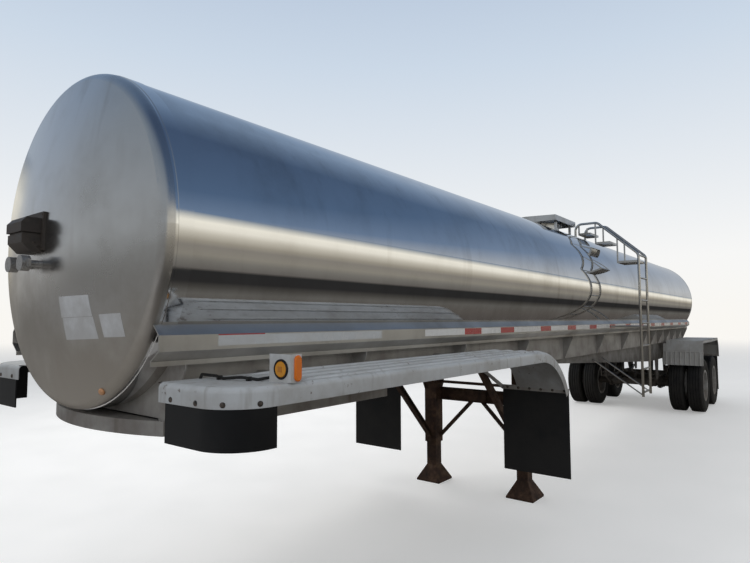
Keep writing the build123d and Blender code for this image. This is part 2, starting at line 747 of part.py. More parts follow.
def subframe():
    side_profile = [
        (at(SUBFRAME_START), FRAME_BOTTOM_Z),
        (at(FRAME_END), FRAME_BOTTOM_Z),
        (at(SUBFRAME_END), FRAME_BOTTOM_Z - 2 * FLANGE_WIDTH),
        (at(SUBFRAME_END), SUBFRAME_BOTTOM_Z),
        (at(SUBFRAME_FULL), SUBFRAME_BOTTOM_Z),
        (at(SUBFRAME_START), FRAME_BOTTOM_Z - 3 * FLANGE_THICKNESS),
    ]
    web = slab_xz(side_profile, SUBFRAME_Y - WEB, SUBFRAME_Y)
    lower = [side_profile[5], side_profile[4], side_profile[3]]
    flange_line = folded([(x, z) for x, z in lower], -FLANGE_THICKNESS)
    flange = slab_xz(flange_line, SUBFRAME_Y - SUBFRAME_FLANGE, SUBFRAME_Y)
    rail_body = web + flange
    middle = SPRING_Y
    for station in HANGER_STATIONS:
        x = at(station)
        outline = [
            (x - HANGER_LENGTH, SUBFRAME_BOTTOM_Z),
            (x + HANGER_LENGTH, SUBFRAME_BOTTOM_Z),
            (x + HANGER_LENGTH / 2, HANGER_BOTTOM_Z),
            (x - HANGER_LENGTH / 2, HANGER_BOTTOM_Z),
        ]
        half = HANGER_WIDTH / 2
        rail_body += slab_xz(outline, middle + half - HANGER_WALL, middle + half)
        rail_body += slab_xz(outline, middle - half, middle - half + HANGER_WALL)
        rail_body += bar(x - HANGER_LENGTH, x + HANGER_LENGTH, middle - half, middle + half,
                         SUBFRAME_BOTTOM_Z - HANGER_WALL, SUBFRAME_BOTTOM_Z)
    return rail_body


sub = subframe()
for name, side in SIDES:
    NODES[f"subframe_{name}"] = on_side(sub, side)

cross_y = SUBFRAME_Y - WEB
NODES["cross_members"] = Compound([
    bar(at(station) - CROSS_WIDTH / 2, at(station) + CROSS_WIDTH / 2, -cross_y, cross_y,
        SUBFRAME_BOTTOM_Z + FLANGE_THICKNESS, SUBFRAME_BOTTOM_Z + FLANGE_THICKNESS + CROSS_HEIGHT)
    for station in HANGER_STATIONS
])


# Springs, seated on the axles and ending in the hangers

def leaf_spring(station):
    """arched leaf pack, each lower leaf shorter than the one above it"""
    x = at(station)
    seat_z = AXLE_Z + AXLE_RADIUS + SPRING_SEAT
    pack = None
    radius = (SPRING_HALF_SPAN**2 + SPRING_CAMBER**2) / (2 * SPRING_CAMBER)
    for i in range(SPRING_LEAVES):
        low = i * SPRING_LEAF
        half = SPRING_HALF_SPAN * (0.62 + 0.38 * i / (SPRING_LEAVES - 1))
        inner = radius - low
        outer = inner - SPRING_LEAF
        centre_z = seat_z + radius

        def spot(r, share):
            angle = share * half / radius
            return (x + r * math.sin(angle), centre_z - r * math.cos(angle))

        outline = Wire([
            ThreePointArc(spot(inner, -1), spot(inner, 0), spot(inner, 1)),
            Line(spot(inner, 1), spot(outer, 1)),
            ThreePointArc(spot(outer, 1), spot(outer, 0), spot(outer, -1)),
            Line(spot(outer, -1), spot(inner, -1)),
        ])
        leaf = extrude(Plane.XZ.offset(-SPRING_Y - SPRING_WIDTH / 2) * Face(outline), SPRING_WIDTH)
        pack = leaf if pack is None else pack + leaf
    seat = bar(x - 75, x + 75, SPRING_Y - SPRING_WIDTH / 2, SPRING_Y + SPRING_WIDTH / 2,
               AXLE_Z + AXLE_RADIUS - 20, seat_z + 2)
    return pack + (seat - along_y(AXLE_RADIUS, 0, HALF_WIDTH, x, AXLE_Z))


springs = []
for _, station in AXLE_STATIONS:
    pack = leaf_spring(station)
    springs += [pack, mirrored(pack)]
NODES["leaf_springs"] = Compound(springs)


# Axles with brake spiders and chambers

OUTER_TYRE_Y = HALF_WIDTH - 12 - TYRE_WIDTH / 2
DUAL_MIDDLE_Y = OUTER_TYRE_Y - DUAL_SPACING / 2
DRUM_INNER_Y = DUAL_MIDDLE_Y - DRUM_REACH
HUB_OUTER_Y = DUAL_MIDDLE_Y + HUB_REACH


def axle(station):
    x = at(station)
    tube_end = DRUM_INNER_Y + 40
    spindle_end = HUB_OUTER_Y - 20
    body = along_y(AXLE_RADIUS, -tube_end, tube_end, x, AXLE_Z)
    body += along_y(SPINDLE_RADIUS, -spindle_end, spindle_end, x, AXLE_Z)
    for side in (1, -1):
        spider = side * (DRUM_INNER_Y - 24)
        body += along_y(DRUM_RADIUS - 18, spider, spider - side * 10, x, AXLE_Z)
        chamber_x = x + AXLE_RADIUS + CHAMBER_RADIUS + 12
        body += along_y(CHAMBER_RADIUS, side * CHAMBER_Y, side * (CHAMBER_Y + CHAMBER_LENGTH), chamber_x,
                        AXLE_Z + 20)
        body += along_y(CHAMBER_RADIUS + 8, side * (CHAMBER_Y + CHAMBER_LENGTH / 2 - 8),
                        side * (CHAMBER_Y + CHAMBER_LENGTH / 2 + 8), chamber_x, AXLE_Z + 20)
        body += bar(x, chamber_x, side * (CHAMBER_Y + CHAMBER_LENGTH - 14), side * (CHAMBER_Y + CHAMBER_LENGTH),
                    AXLE_Z - 20, AXLE_Z + 20)
        body += along_y(17, side * (CHAMBER_Y + CHAMBER_LENGTH - 20), spider, x + AXLE_RADIUS + 40, AXLE_Z)
    return body


for name, station in AXLE_STATIONS:
    NODES[f"axle_{name}"] = axle(station)


# Twin wheels: two tyres, two disc rims, the hub and the brake drum turn as one

def tyre(middle):
    half_bead, half_side, half_tread = RIM_WIDTH / 2, TYRE_WIDTH / 2, TREAD_WIDTH / 2
    height = TYRE_RADIUS - RIM_RADIUS
    section = [
        (RIM_RADIUS, -half_bead + 10),
        (RIM_RADIUS + 0.18 * height, -half_side + 16),
        (RIM_RADIUS + 0.48 * height, -half_side),
        (RIM_RADIUS + 0.80 * height, -half_side + 10),
        (TYRE_RADIUS - 10, -half_tread),
        (TYRE_RADIUS, -half_tread + 22),
    ]
    section += [(r, -y) for r, y in section[::-1]]
    return [(r, y + middle) for r, y in section]


def rim(middle):
    """half section of a rim: flanges, bead seat and barrel"""
    half = RIM_WIDTH / 2
    return [
        (RIM_FLANGE_RADIUS, middle - half),
        (RIM_FLANGE_RADIUS, middle - half - 10),
        (RIM_BARREL_RADIUS, middle - half - 10),
        (RIM_BARREL_RADIUS, middle + half + 10),
        (RIM_FLANGE_RADIUS, middle + half + 10),
        (RIM_FLANGE_RADIUS, middle + half),
        (RIM_RADIUS, middle + half),
        (RIM_RADIUS, middle - half),
    ]


def wheel_hub(x):
    z = AXLE_Z
    outer_y, inner_y = OUTER_TYRE_Y, OUTER_TYRE_Y - DUAL_SPACING
    body = ring(rim(outer_y), x, z) + ring(rim(inner_y), x, z)
    bridge = RIM_WIDTH / 2
    disc = [
        (SPINDLE_RADIUS + SPINDLE_CLEARANCE, DUAL_MIDDLE_Y - DISC),
        (RIM_BARREL_RADIUS - 40, DUAL_MIDDLE_Y - DISC),
        (RIM_BARREL_RADIUS + 6, inner_y + bridge - 20),
        (RIM_BARREL_RADIUS + 6, outer_y - bridge + 20),
        (RIM_BARREL_RADIUS - 40, DUAL_MIDDLE_Y + DISC),
        (SPINDLE_RADIUS + SPINDLE_CLEARANCE, DUAL_MIDDLE_Y + DISC),
    ]
    body += ring(disc, x, z)
    bore = SPINDLE_RADIUS + SPINDLE_CLEARANCE
    hub = [
        (bore, DRUM_INNER_Y + 60),
        (HUB_RADIUS - 15, DRUM_INNER_Y + 60),
        (HUB_RADIUS, DUAL_MIDDLE_Y - 20),
        (HUB_RADIUS, DUAL_MIDDLE_Y + HUB_REACH - 60),
        (HUB_CAP_RADIUS + 16, HUB_OUTER_Y),
        (bore, HUB_OUTER_Y),
    ]
    body += ring(hub, x, z)
    cap = [
        (0, HUB_OUTER_Y - 10),
        (HUB_CAP_RADIUS, HUB_OUTER_Y - 10),
        (HUB_CAP_RADIUS, HUB_OUTER_Y + HUB_CAP_REACH - 14),
        (HUB_CAP_RADIUS - 14, HUB_OUTER_Y + HUB_CAP_REACH),
        (0, HUB_OUTER_Y + HUB_CAP_REACH),
    ]
    body += ring(cap, x, z)
    drum = [
        (HUB_RADIUS - 10, DUAL_MIDDLE_Y - DISC - 16),
        (DRUM_RADIUS, DUAL_MIDDLE_Y - DISC - 16),
        (DRUM_RADIUS, DRUM_INNER_Y),
        (DRUM_RADIUS - DRUM_WALL, DRUM_INNER_Y),
        (DRUM_RADIUS - DRUM_WALL, DUAL_MIDDLE_Y - DISC - 32),
        (HUB_RADIUS - 10, DUAL_MIDDLE_Y - DISC - 32),
    ]
    body += ring(drum, x, z)
    mount = ring([(bore, DUAL_MIDDLE_Y - DISC - 17), (DRUM_RADIUS - 40, DUAL_MIDDLE_Y - DISC - 17),
                  (DRUM_RADIUS - 40, DUAL_MIDDLE_Y), (bore, DUAL_MIDDLE_Y)], x, z)
    body += mount
    for i in range(DISC_HOLE_COUNT):
        angle = 2 * math.pi * i / DISC_HOLE_COUNT
        hole_x = x + DISC_HOLE_CIRCLE * math.cos(angle)
        hole_z = z + DISC_HOLE_CIRCLE * math.sin(angle)
        body -= along_y(DISC_HOLE_RADIUS, DUAL_MIDDLE_Y - DISC - 1, DUAL_MIDDLE_Y + 90, hole_x, hole_z)
    return body


for axle_name, station in AXLE_STATIONS:
    x = at(station)
    tyres = [ring(tyre(OUTER_TYRE_Y), x, AXLE_Z), ring(tyre(OUTER_TYRE_Y - DUAL_SPACING), x, AXLE_Z)]
    hub = wheel_hub(x)
    for name, side in SIDES:
        NODES[f"tyres_{axle_name}_{name}"] = Compound([on_side(piece, side) for piece in tyres])
        NODES[f"wheel_hub_{axle_name}_{name}"] = on_side(hub, side)


# Air reservoirs on brackets from the sub-frame, ahead of the tandem

def reservoir():
    y = SUBFRAME_Y - SUBFRAME_FLANGE - RESERVOIR_RADIUS - 30
    z = FRAME_BOTTOM_Z - RESERVOIR_RADIUS - 40
    x = at(RESERVOIR_STATION)
    drum = along_x(RESERVOIR_RADIUS, x - RESERVOIR_LENGTH / 2, x + RESERVOIR_LENGTH / 2, y, z)
    drum = fillet(drum.edges().filter_by(GeomType.CIRCLE), RESERVOIR_RADIUS / 2)
    for offset in (-RESERVOIR_LENGTH / 4, RESERVOIR_LENGTH / 4):
        drum += bar(x + offset - RESERVOIR_BRACKET / 2, x + offset + RESERVOIR_BRACKET / 2,
                    y, SUBFRAME_Y - WEB, z, FRAME_BOTTOM_Z)
    return drum


drum = reservoir()
NODES["air_reservoirs"] = Compound([drum, mirrored(drum)])


# Rear fenders: flat roof, steep front and rear panels with a fold, open outer side

def rear_fender():
    start, end = at(REAR_FENDER_START), at(REAR_FENDER_END)
    top = REAR_FENDER_TOP_Z
    lean = REAR_FENDER_LEAN
    line = [
        (start, REAR_FENDER_BOTTOM_Z),
        (start - lean, REAR_FENDER_FOLD_Z),
        (start - 1.4 * lean, top),
        (end + REAR_FENDER_CHAMFER, top),
        (end + lean / 2, REAR_FENDER_FOLD_Z + lean),
        (end, REAR_FENDER_BOTTOM_Z + lean),
    ]
    shell = slab_xz(folded(line, -FENDER_SHEET), REAR_FENDER_INNER_Y, HALF_WIDTH)
    gusset_y = GUSSET_Y - (GUSSET_Y - FRAME_Y) / 2
    notch = bar(end - 1, start + 1, 0, gusset_y, FRAME_BOTTOM_Z - REAR_FENDER_GAP, top + 1)
    shell -= notch
    for station in REAR_FENDER_BARS:
        x = at(station)
        shell += bar(x, x + REAR_FENDER_BAR, FRAME_Y, HALF_WIDTH - 2 * REAR_FENDER_BAR,
                     top - FENDER_SHEET - REAR_FENDER_BAR, top - FENDER_SHEET + 1)
    return shell


fender = rear_fender()
for name, side in SIDES:
    NODES[f"rear_fender_{name}"] = on_side(fender, side)


# Rear bumper with its raked posts, flap bars and lamp boxes

BUMPER_X = at(BUMPER_STATION)
POST_Y = SPRING_Y + HANGER_WIDTH / 2
POST_OUTER_Y = POST_Y + BUMPER_POST_WIDTH


def rear_bumper():
    beam_top = BUMPER_Z + BUMPER_SIZE / 2
    beam = bar(BUMPER_X, BUMPER_X + BUMPER_SIZE, -BUMPER_HALF_LENGTH, BUMPER_HALF_LENGTH,
               BUMPER_Z - BUMPER_SIZE / 2, beam_top)
    box_top = LAMP_BOX_Z + LAMP_BOX_HEIGHT / 2
    box_x = BUMPER_X + LAMP_PROUD
    profile = [
        (at(FRAME_END) + BUMPER_POST_WIDTH, FRAME_BOTTOM_Z),
        (at(FRAME_END) + BUMPER_POST_WIDTH, SUBFRAME_BOTTOM_Z),
        (BUMPER_X + BUMPER_SIZE, beam_top - 5),
        (BUMPER_X, beam_top - 5),
        (BUMPER_X, box_top),
        (at(FRAME_END), FRAME_BOTTOM_Z),
    ]
    flap_x = at(REAR_FLAP_STATION)
    for side in (1, -1):
        beam += slab_xz(profile, side * POST_Y, side * POST_OUTER_Y)
        beam += bar(box_x, box_x + LAMP_BOX_DEPTH, side * (POST_OUTER_Y - 1), side * (POST_OUTER_Y + LAMP_BOX_WIDTH),
                    box_top - LAMP_BOX_HEIGHT, box_top)
        beam += bar(flap_x, flap_x + REAR_FLAP_BAR, side * (POST_OUTER_Y - 1), side * (HALF_WIDTH - REAR_FLAP_SHORT),
                    REAR_FLAP_TOP_Z, REAR_FLAP_TOP_Z + REAR_FLAP_BAR)
    return beam


NODES["rear_bumper"] = rear_bumper()

rear_flap = bar(at(REAR_FLAP_STATION), at(REAR_FLAP_STATION) + RUBBER, REAR_FLAP_INNER_Y,
                HALF_WIDTH - REAR_FLAP_SHORT, REAR_FLAP_BOTTOM_Z, REAR_FLAP_TOP_Z)
NODES["rear_flaps"] = Compound([rear_flap, mirrored(rear_flap)])

lamps = []
for side in (1, -1):
    for share in (0.27, 0.73):
        y = side * (POST_OUTER_Y + share * LAMP_BOX_WIDTH)
        lamps.append(along_x(LAMP_RADIUS, BUMPER_X, BUMPER_X + LAMP_PROUD, y, LAMP_BOX_Z))
NODES["tail_lamps"] = Compound(lamps)


# Ladder up the left side and over the shoulder of the tank

STILE_X = (at(LADDER_STATION - LADDER_WIDTH / 2), at(LADDER_STATION + LADDER_WIDTH / 2))


def ladder_rail(x):
    """round tube up the side, bent over the shoulder of the tank and down onto it"""
    line = [
        (x, LADDER_Y, LADDER_FOOT_Z),
        (x, LADDER_Y, LADDER_BEND_Z),
        (x, LADDER_TOP_Y, LADDER_TOP_Z),
        (x, LADDER_END_Y, LADDER_TOP_Z),
        (x, LADDER_END_Y, LADDER_TOP_Z - 2.5 * LADDER_BEND_RADIUS),
    ]
    return bent_tube(line, LADDER_BEND_RADIUS, LADDER_TUBE) - TANK_CUT


def ladder_braces():
    """for each rail a strut up to the sub-frame and a short stay to the side rail"""
    past_web = bar(STILE_X[0] + LADDER_WIDTH, STILE_X[1] - LADDER_WIDTH, 0, SUBFRAME_Y, LADDER_FOOT_Z, TANK_AXIS_Z)
    stay_z = (RAIL_TOP_Z + RAIL_BOTTOM_Z) / 2
    pieces = []
    for x, rail in zip(STILE_X, RAILS):
        foot = (x, LADDER_Y, LADDER_FOOT_Z + 2 * LADDER_STRUT)
        strut = rod(foot, (x, SUBFRAME_Y - WEB, LADDER_BRACE_Z), LADDER_STRUT)
        pieces.append(strut - past_web - rail)
        pieces.append(along_y(RUNG_RADIUS, RAIL_FACE_Y, LADDER_Y, x, stay_z) - rail)
    return Compound(pieces)


RAILS = [ladder_rail(x) for x in STILE_X]
NODES["ladder_rails"] = Compound(RAILS)
NODES["ladder_rungs"] = Compound([
    along_x(RUNG_RADIUS, STILE_X[0], STILE_X[1], LADDER_Y, RUNG_BOTTOM_Z + i * RUNG_PITCH) - RAILS[0] - RAILS[1]
    for i in range(RUNG_COUNT)
])
NODES["ladder_braces"] = ladder_braces()

# columns: inner y, outer y, drop of the tread's top below the tank's
TREADS = (
    (885, LADDER_Y - LADDER_TUBE, 460),
    (600, 800, 175),
    (LADDER_END_Y + 2 * LADDER_TUBE, 540, 30),
)


def rail_z(y):
    """height of the ladder rail's middle above y"""
    if y <= LADDER_TOP_Y:
        return LADDER_TOP_Z
    rise = (LADDER_TOP_Z - LADDER_BEND_Z) / (LADDER_Y - LADDER_TOP_Y)
    return LADDER_BEND_Z + (LADDER_Y - y) * rise


def ladder_treads():
    pieces = []
    for inner, outer, drop in TREADS:
        top = TANK_TOP_Z - drop
        tread = bar(STILE_X[1] + LADDER_TUBE, STILE_X[0] - LADDER_TUBE, inner, outer, top - TREAD_PLATE, top)
        tread -= bar(STILE_X[1] + LADDER_TUBE + SHEET, STILE_X[0] - LADDER_TUBE - SHEET, inner + SHEET,
                     outer - SHEET, top - TREAD_PLATE - 1, top - SHEET)
        for x, inward in ((STILE_X[0] - LADDER_TUBE - TREAD_POST, -1), (STILE_X[1] + LADDER_TUBE + TREAD_POST, 1)):
            post_y = inner + TREAD_POST
            tread += bar(x - TREAD_POST, x + TREAD_POST, inner, inner + 2 * TREAD_POST, top - SHEET,
                         rail_z(post_y))
        pieces.append(tread)
    return Compound(pieces)


NODES["ladder_treads"] = ladder_treads()


# Manhole: neck and lid stand, domed cover, and the hinged rectangular lid over them

MANHOLE_X = at(MANHOLE_STATION)
LID_BOTTOM_Z = LID_TOP_Z - LID_SIDE
HINGE_Y = -LID_HALF_WIDTH - HINGE_OUT
HINGE_Z = LID_BOTTOM_Z + HINGE_BARREL
HINGE_OFFSET = LID_LENGTH / 2 - 2 * HINGE_LENGTH


def stub(radius, top):
    """upright round stub from the tank's axis to a height"""
    axis_point = Pos(MANHOLE_X, 0, TANK_AXIS_Z)
    return axis_point * Cylinder(radius, top - TANK_AXIS_Z, align=(Align.CENTER, Align.CENTER, Align.MIN))


def manhole_neck():
    """neck, and the four posts of the lid: two carry the hinge pins and two end under the lid"""
    pieces = [stub(NECK_RADIUS, NECK_TOP_Z) - TANK_CUT]
    for offset in (-HINGE_OFFSET, HINGE_OFFSET):
        x = MANHOLE_X + offset
        low = TANK_AXIS_Z + TANK_RADIUS / 2
        post = bar(x - STAND_POST, x + STAND_POST, HINGE_Y - STAND_POST, HINGE_Y + STAND_POST, low, HINGE_Z)
        post += along_x(HINGE_BARREL, x - STAND_POST, x + STAND_POST, HINGE_Y, HINGE_Z)
        post += along_x(HINGE_RADIUS, x - HINGE_LENGTH, x + HINGE_LENGTH, HINGE_Y, HINGE_Z)
        pieces.append(post - TANK_CUT)
        rest_y = LID_HALF_WIDTH - 3 * STAND_POST
        rest = bar(x - STAND_POST, x + STAND_POST, rest_y - STAND_POST, rest_y + STAND_POST, low,
                   LID_TOP_Z - LID_RIDGE - LID_SHEET - REST_GAP)
        pieces.append(rest - TANK_CUT)
    return Compound(pieces)


def manhole_cover():
    """domed cover with a clamping edge and a bar handle"""
    dome = COVER_RADIUS - 3 * COVER_EDGE
    radius = (dome**2 + COVER_RISE**2) / (2 * COVER_RISE)
    half = math.asin(dome / radius) / 2
    shoulder = (radius * math.sin(half), COVER_EDGE + COVER_RISE - radius * (1 - math.cos(half)))
    outline = Wire([
        Line((0, 0), (COVER_RADIUS, 0)),
        Line((COVER_RADIUS, 0), (COVER_RADIUS, COVER_EDGE)),
        Line((COVER_RADIUS, COVER_EDGE), (dome, COVER_EDGE)),
        ThreePointArc((dome, COVER_EDGE), shoulder, (0, COVER_EDGE + COVER_RISE)),
        Line((0, COVER_EDGE + COVER_RISE), (0, 0)),
    ])
    cover = revolve(Plane.XZ * Face(outline), Axis.Z)
    return Pos(MANHOLE_X, 0, NECK_TOP_Z) * cover


NODES["manhole_neck"] = manhole_neck()
NODES["manhole_cover"] = manhole_cover()


def box_lid():
    """pan with a low ridge along it, open below, and two barrels for the hinge pins"""
    x0, x1 = MANHOLE_X - LID_LENGTH / 2, MANHOLE_X + LID_LENGTH / 2
    half, sheet = LID_HALF_WIDTH, LID_SHEET
    outer = [(-half, LID_BOTTOM_Z), (half, LID_BOTTOM_Z), (half, LID_TOP_Z - LID_RIDGE), (0, LID_TOP_Z),
             (-half, LID_TOP_Z - LID_RIDGE)]
    inner = [(-half + sheet, LID_BOTTOM_Z - 1), (half - sheet, LID_BOTTOM_Z - 1),
             (half - sheet, LID_TOP_Z - LID_RIDGE - sheet), (0, LID_TOP_Z - sheet),
             (-half + sheet, LID_TOP_Z - LID_RIDGE - sheet)]
    pan = slab_yz(outer, x0, x1) - slab_yz(inner, x0 + sheet, x1 - sheet)
    for offset in (-HINGE_OFFSET, HINGE_OFFSET):
        for turn in (-1, 1):
            a = MANHOLE_X + offset + turn * (STAND_POST + LID_GAP)
            b = MANHOLE_X + offset + turn * HINGE_LENGTH
            barrel = along_x(HINGE_BARREL, a, b, HINGE_Y, HINGE_Z)
            barrel += bar(a, b, HINGE_Y, -half + sheet / 2, HINGE_Z - sheet, HINGE_Z + sheet)
            pan += barrel - along_x(HINGE_RADIUS + HINGE_CLEARANCE, a - turn, b + turn, HINGE_Y, HINGE_Z)
    return pan


NODES["box_lid"] = box_lid()


# Connection box and air couplings on the front head

HEAD_X = at(-HEAD_DEPTH)
HEAD_CUT = NODES["front_head"]


def nose_box():
    half_y, half_z = NOSE_FLANGE_WIDTH / 2, NOSE_FLANGE_HEIGHT / 2
    flange_z = NOSE_BOX_Z + NOSE_FLANGE_RISE
    flange = bar(HEAD_X - 2 * NOSE_FLANGE, HEAD_X + NOSE_FLANGE, NOSE_BOX_Y - half_y, NOSE_BOX_Y + half_y,
                 flange_z - half_z, flange_z + half_z)
    half_y, half_z = NOSE_BOX_WIDTH / 2, NOSE_BOX_HEIGHT / 2
    body = bar(HEAD_X + NOSE_FLANGE, HEAD_X + NOSE_DEPTH, NOSE_BOX_Y - half_y, NOSE_BOX_Y + half_y,
               NOSE_BOX_Z - half_z, NOSE_BOX_Z + half_z)
    body = chamfer(body.faces().sort_by(Axis.X)[-1].edges(), NOSE_CHAMFER)
    return (flange - HEAD_CUT) + body


NODES["nose_box"] = nose_box()


def gladhand(side):
    """pipe out of the head, a round body facing forward and a locking lug"""
    y, z = NOSE_BOX_Y + side * GLADHAND_SPREAD, GLADHAND_Z
    pipe = along_x(GLADHAND_PIPE, HEAD_X - 30, HEAD_X + GLADHAND_REACH, y, z) - HEAD_CUT
    body = along_x(GLADHAND_RADIUS, HEAD_X + GLADHAND_REACH - 40, HEAD_X + GLADHAND_REACH, y, z)
    lug = bar(HEAD_X + GLADHAND_REACH - 30, HEAD_X + GLADHAND_REACH - 18, y, y + side * 1.6 * GLADHAND_RADIUS,
              z - GLADHAND_RADIUS / 2, z + GLADHAND_RADIUS / 2)
    return pipe + body + lug


NODES["gladhands"] = Compound([gladhand(1), gladhand(-1)])


# Lamp plates on the front fenders, each with a forward lamp and a side reflector

def lamp_plate():
    x = at(LAMP_PLATE_STATION)
    y1 = FENDER_OUTER_Y
    y0 = y1 - LAMP_PLATE_WIDTH
    z0, z1 = FENDER_TOP_Z, FENDER_TOP_Z + LAMP_PLATE_HEIGHT
    plate = bar(x - LAMP_PLATE, x, y0, y1, z0, z1)
    plate += bar(x - SIDE_LENS_WIDTH - 2 * LAMP_PLATE, x, y1 - LAMP_PLATE, y1, z0, z1)
    grommet = along_x(GROMMET_RADIUS, x, x + 12, (y0 + y1) / 2, (z0 + z1) / 2)
    return plate + grommet


def amber_lenses():
    """round lamp in its rubber ring and the upright oblong reflector on the side"""
    x = at(LAMP_PLATE_STATION)
    z = FENDER_TOP_Z + LAMP_PLATE_HEIGHT / 2
    y = FENDER_OUTER_Y - LAMP_PLATE_WIDTH / 2
    lamp = along_x(FRONT_LENS_RADIUS, x + 12, x + 20, y, z)
    side_x = x - LAMP_PLATE - SIDE_LENS_WIDTH / 2
    lens = Plane.XZ.offset(-FENDER_OUTER_Y - 10) * Pos(side_x, z) * SlotOverall(
        SIDE_LENS_HEIGHT, SIDE_LENS_WIDTH, rotation=90)
    return [lamp, extrude(lens, 10)]


plate = lamp_plate()
lenses = amber_lenses()
for name, side in SIDES:
    NODES[f"lamp_plate_{name}"] = on_side(plate, side)
    NODES[f"amber_lenses_{name}"] = Compound([on_side(lens, side) for lens in lenses])


# Outlet below the rear of the tank: sump pipe, valve body and blank cap

def outlet_valve():
    x = at(OUTLET_STATION)
    down = rod((x, 0, OUTLET_Z), (x, 0, TANK_AXIS_Z - TANK_RADIUS + OUTLET_RADIUS), OUTLET_RADIUS) - TANK_CUT
    out = along_x(OUTLET_RADIUS, x - OUTLET_REACH, x, 0, OUTLET_Z)
    body = down + out + Pos(x, 0, OUTLET_Z) * Sphere(1.25 * OUTLET_RADIUS)
    for reach in (0.45, 0.6, 1):
        flange_x = x - reach * OUTLET_REACH
        body += along_x(OUTLET_FLANGE_RADIUS, flange_x - OUTLET_FLANGE, flange_x, 0, OUTLET_Z)
    return body


NODES["outlet_valve"] = outlet_valve()


os.makedirs("parts", exist_ok=True)
for name, shape in NODES.items():
    export_step(shape, f"parts/{name}.step")
print(len(NODES), "nodes")
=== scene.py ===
import math
import bmesh
import bpy
import numpy as np
from mathutils import Matrix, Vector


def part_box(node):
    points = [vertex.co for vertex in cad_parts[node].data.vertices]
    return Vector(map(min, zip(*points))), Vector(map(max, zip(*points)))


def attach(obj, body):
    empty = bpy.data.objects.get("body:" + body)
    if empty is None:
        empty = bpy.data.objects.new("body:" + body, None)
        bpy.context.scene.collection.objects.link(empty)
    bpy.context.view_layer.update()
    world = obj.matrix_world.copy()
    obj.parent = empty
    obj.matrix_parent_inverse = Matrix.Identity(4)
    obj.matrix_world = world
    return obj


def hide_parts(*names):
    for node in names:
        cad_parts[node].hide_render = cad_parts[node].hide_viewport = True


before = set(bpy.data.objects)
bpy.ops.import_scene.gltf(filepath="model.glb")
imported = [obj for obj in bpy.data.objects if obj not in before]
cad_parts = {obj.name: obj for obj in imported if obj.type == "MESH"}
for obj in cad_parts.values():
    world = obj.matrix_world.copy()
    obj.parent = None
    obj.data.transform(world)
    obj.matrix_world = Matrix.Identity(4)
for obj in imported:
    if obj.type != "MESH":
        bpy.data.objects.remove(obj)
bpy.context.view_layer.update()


# View: eye height beside the front left corner, looking back along the tank.
# Distances run back from the front rim of the shell, which is where the tank itself begins.
rim_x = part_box("tank_shell")[1][0]
eye = (rim_x + 1.354, 2.941, 1.82)
view_turn, view_rise, view_roll = 0.660, 0.069, -0.003
focal_pixels, frame_pixels = 558.5, 750


def stance(right, up, ahead, place):
    """Matrix of a camera or lamp at a place, from its right, its up and the direction it looks in."""
    return Matrix([*np.column_stack([right, up, -ahead, place]).tolist(), [0, 0, 0, 1]])


ahead = np.array([
    -math.cos(view_turn) * math.cos(view_rise),
    -math.sin(view_turn) * math.cos(view_rise),
    math.sin(view_rise),
])
level = np.array([-math.sin(view_turn), math.cos(view_turn), 0.0])
upward = np.cross(level, ahead)
right_axis = math.cos(view_roll) * level + math.sin(view_roll) * upward
up_axis = math.cos(view_roll) * upward - math.sin(view_roll) * level
lens = bpy.data.cameras.new("view")
lens.sensor_width = 36
lens.lens = focal_pixels / frame_pixels * lens.sensor_width
camera = bpy.data.objects.new("view", lens)
camera.matrix_world = stance(right_axis, up_axis, ahead, eye)
bpy.context.scene.collection.objects.link(camera)
bpy.context.scene.camera = camera
bpy.context.scene.view_settings.view_transform = "Standard"


# Studio: a dome that deepens overhead, one long soft box down the left side at tank height, one
# overhead and one ahead, a pale floor that fades into the backdrop and shows dark in reflections, and
# along each side a glowing card that only polished metal sees, a painted reflection: a wall, palest
# above tank height, and a dark apron on the floor before it, a painted shadow on the ground.
def wire(tree, node, inputs):
    """Feeds a node's inputs: a socket is linked, a value is set."""
    for key, value in inputs.items():
        if isinstance(value, bpy.types.NodeSocket):
            tree.links.new(value, node.inputs[key])
        else:
            node.inputs[key].default_value = value


def put(tree, kind, inputs=None, **settings):
    """Adds a shader node. Its settings come first, then its inputs."""
    node = tree.nodes.new("ShaderNode" + kind)
    for key, value in settings.items():
        setattr(node, key, value)
    wire(tree, node, inputs or {})
    return node


def ramp(tree, factor, stops):
    """Colour by a factor, between (place, colour) stops."""
    node = put(tree, "ValToRGB", {"Fac": factor})
    elements = node.color_ramp.elements
    while len(elements) < len(stops):
        elements.new(0.5)
    for element, (place, colour) in zip(elements, stops):
        element.position = place
        element.color = (*colour, 1)
    return node.outputs["Color"]


def calc(tree, operation, a, b=0.0):
    """One sum on two numbers or sockets."""
    return put(tree, "Math", {0: a, 1: b}, operation=operation).outputs[0]


def span(tree, value, low, high, first=0.0, last=1.0, curve="LINEAR"):
    """First at low, last at high, in a straight line between them and level beyond."""
    inputs = {"Value": value, "From Min": low, "From Max": high, "To Min": first, "To Max": last}
    return put(tree, "MapRange", inputs, interpolation_type=curve).outputs["Result"]


def between(tree, value, low, high):
    """0 at low, 1 at high, smooth between them."""
    return span(tree, value, low, high, curve="SMOOTHSTEP")


def blend(tree, share, first, second):
    """First colour where share is 0, second where it is 1."""
    return put(tree, "Mix", {"Factor": share, 6: first, 7: second}, data_type="RGBA").outputs[2]


def spot_on(tree):
    """Place on the object, in metres."""
    return put(tree, "TexCoord").outputs["Object"]


def noise(tree, spot, scale, detail, rough=0.5):
    """Cloud noise between 0 and 1."""
    inputs = {"Vector": spot, "Scale": scale, "Detail": detail, "Roughness": rough}
    return put(tree, "TexNoise", inputs).outputs["Fac"]


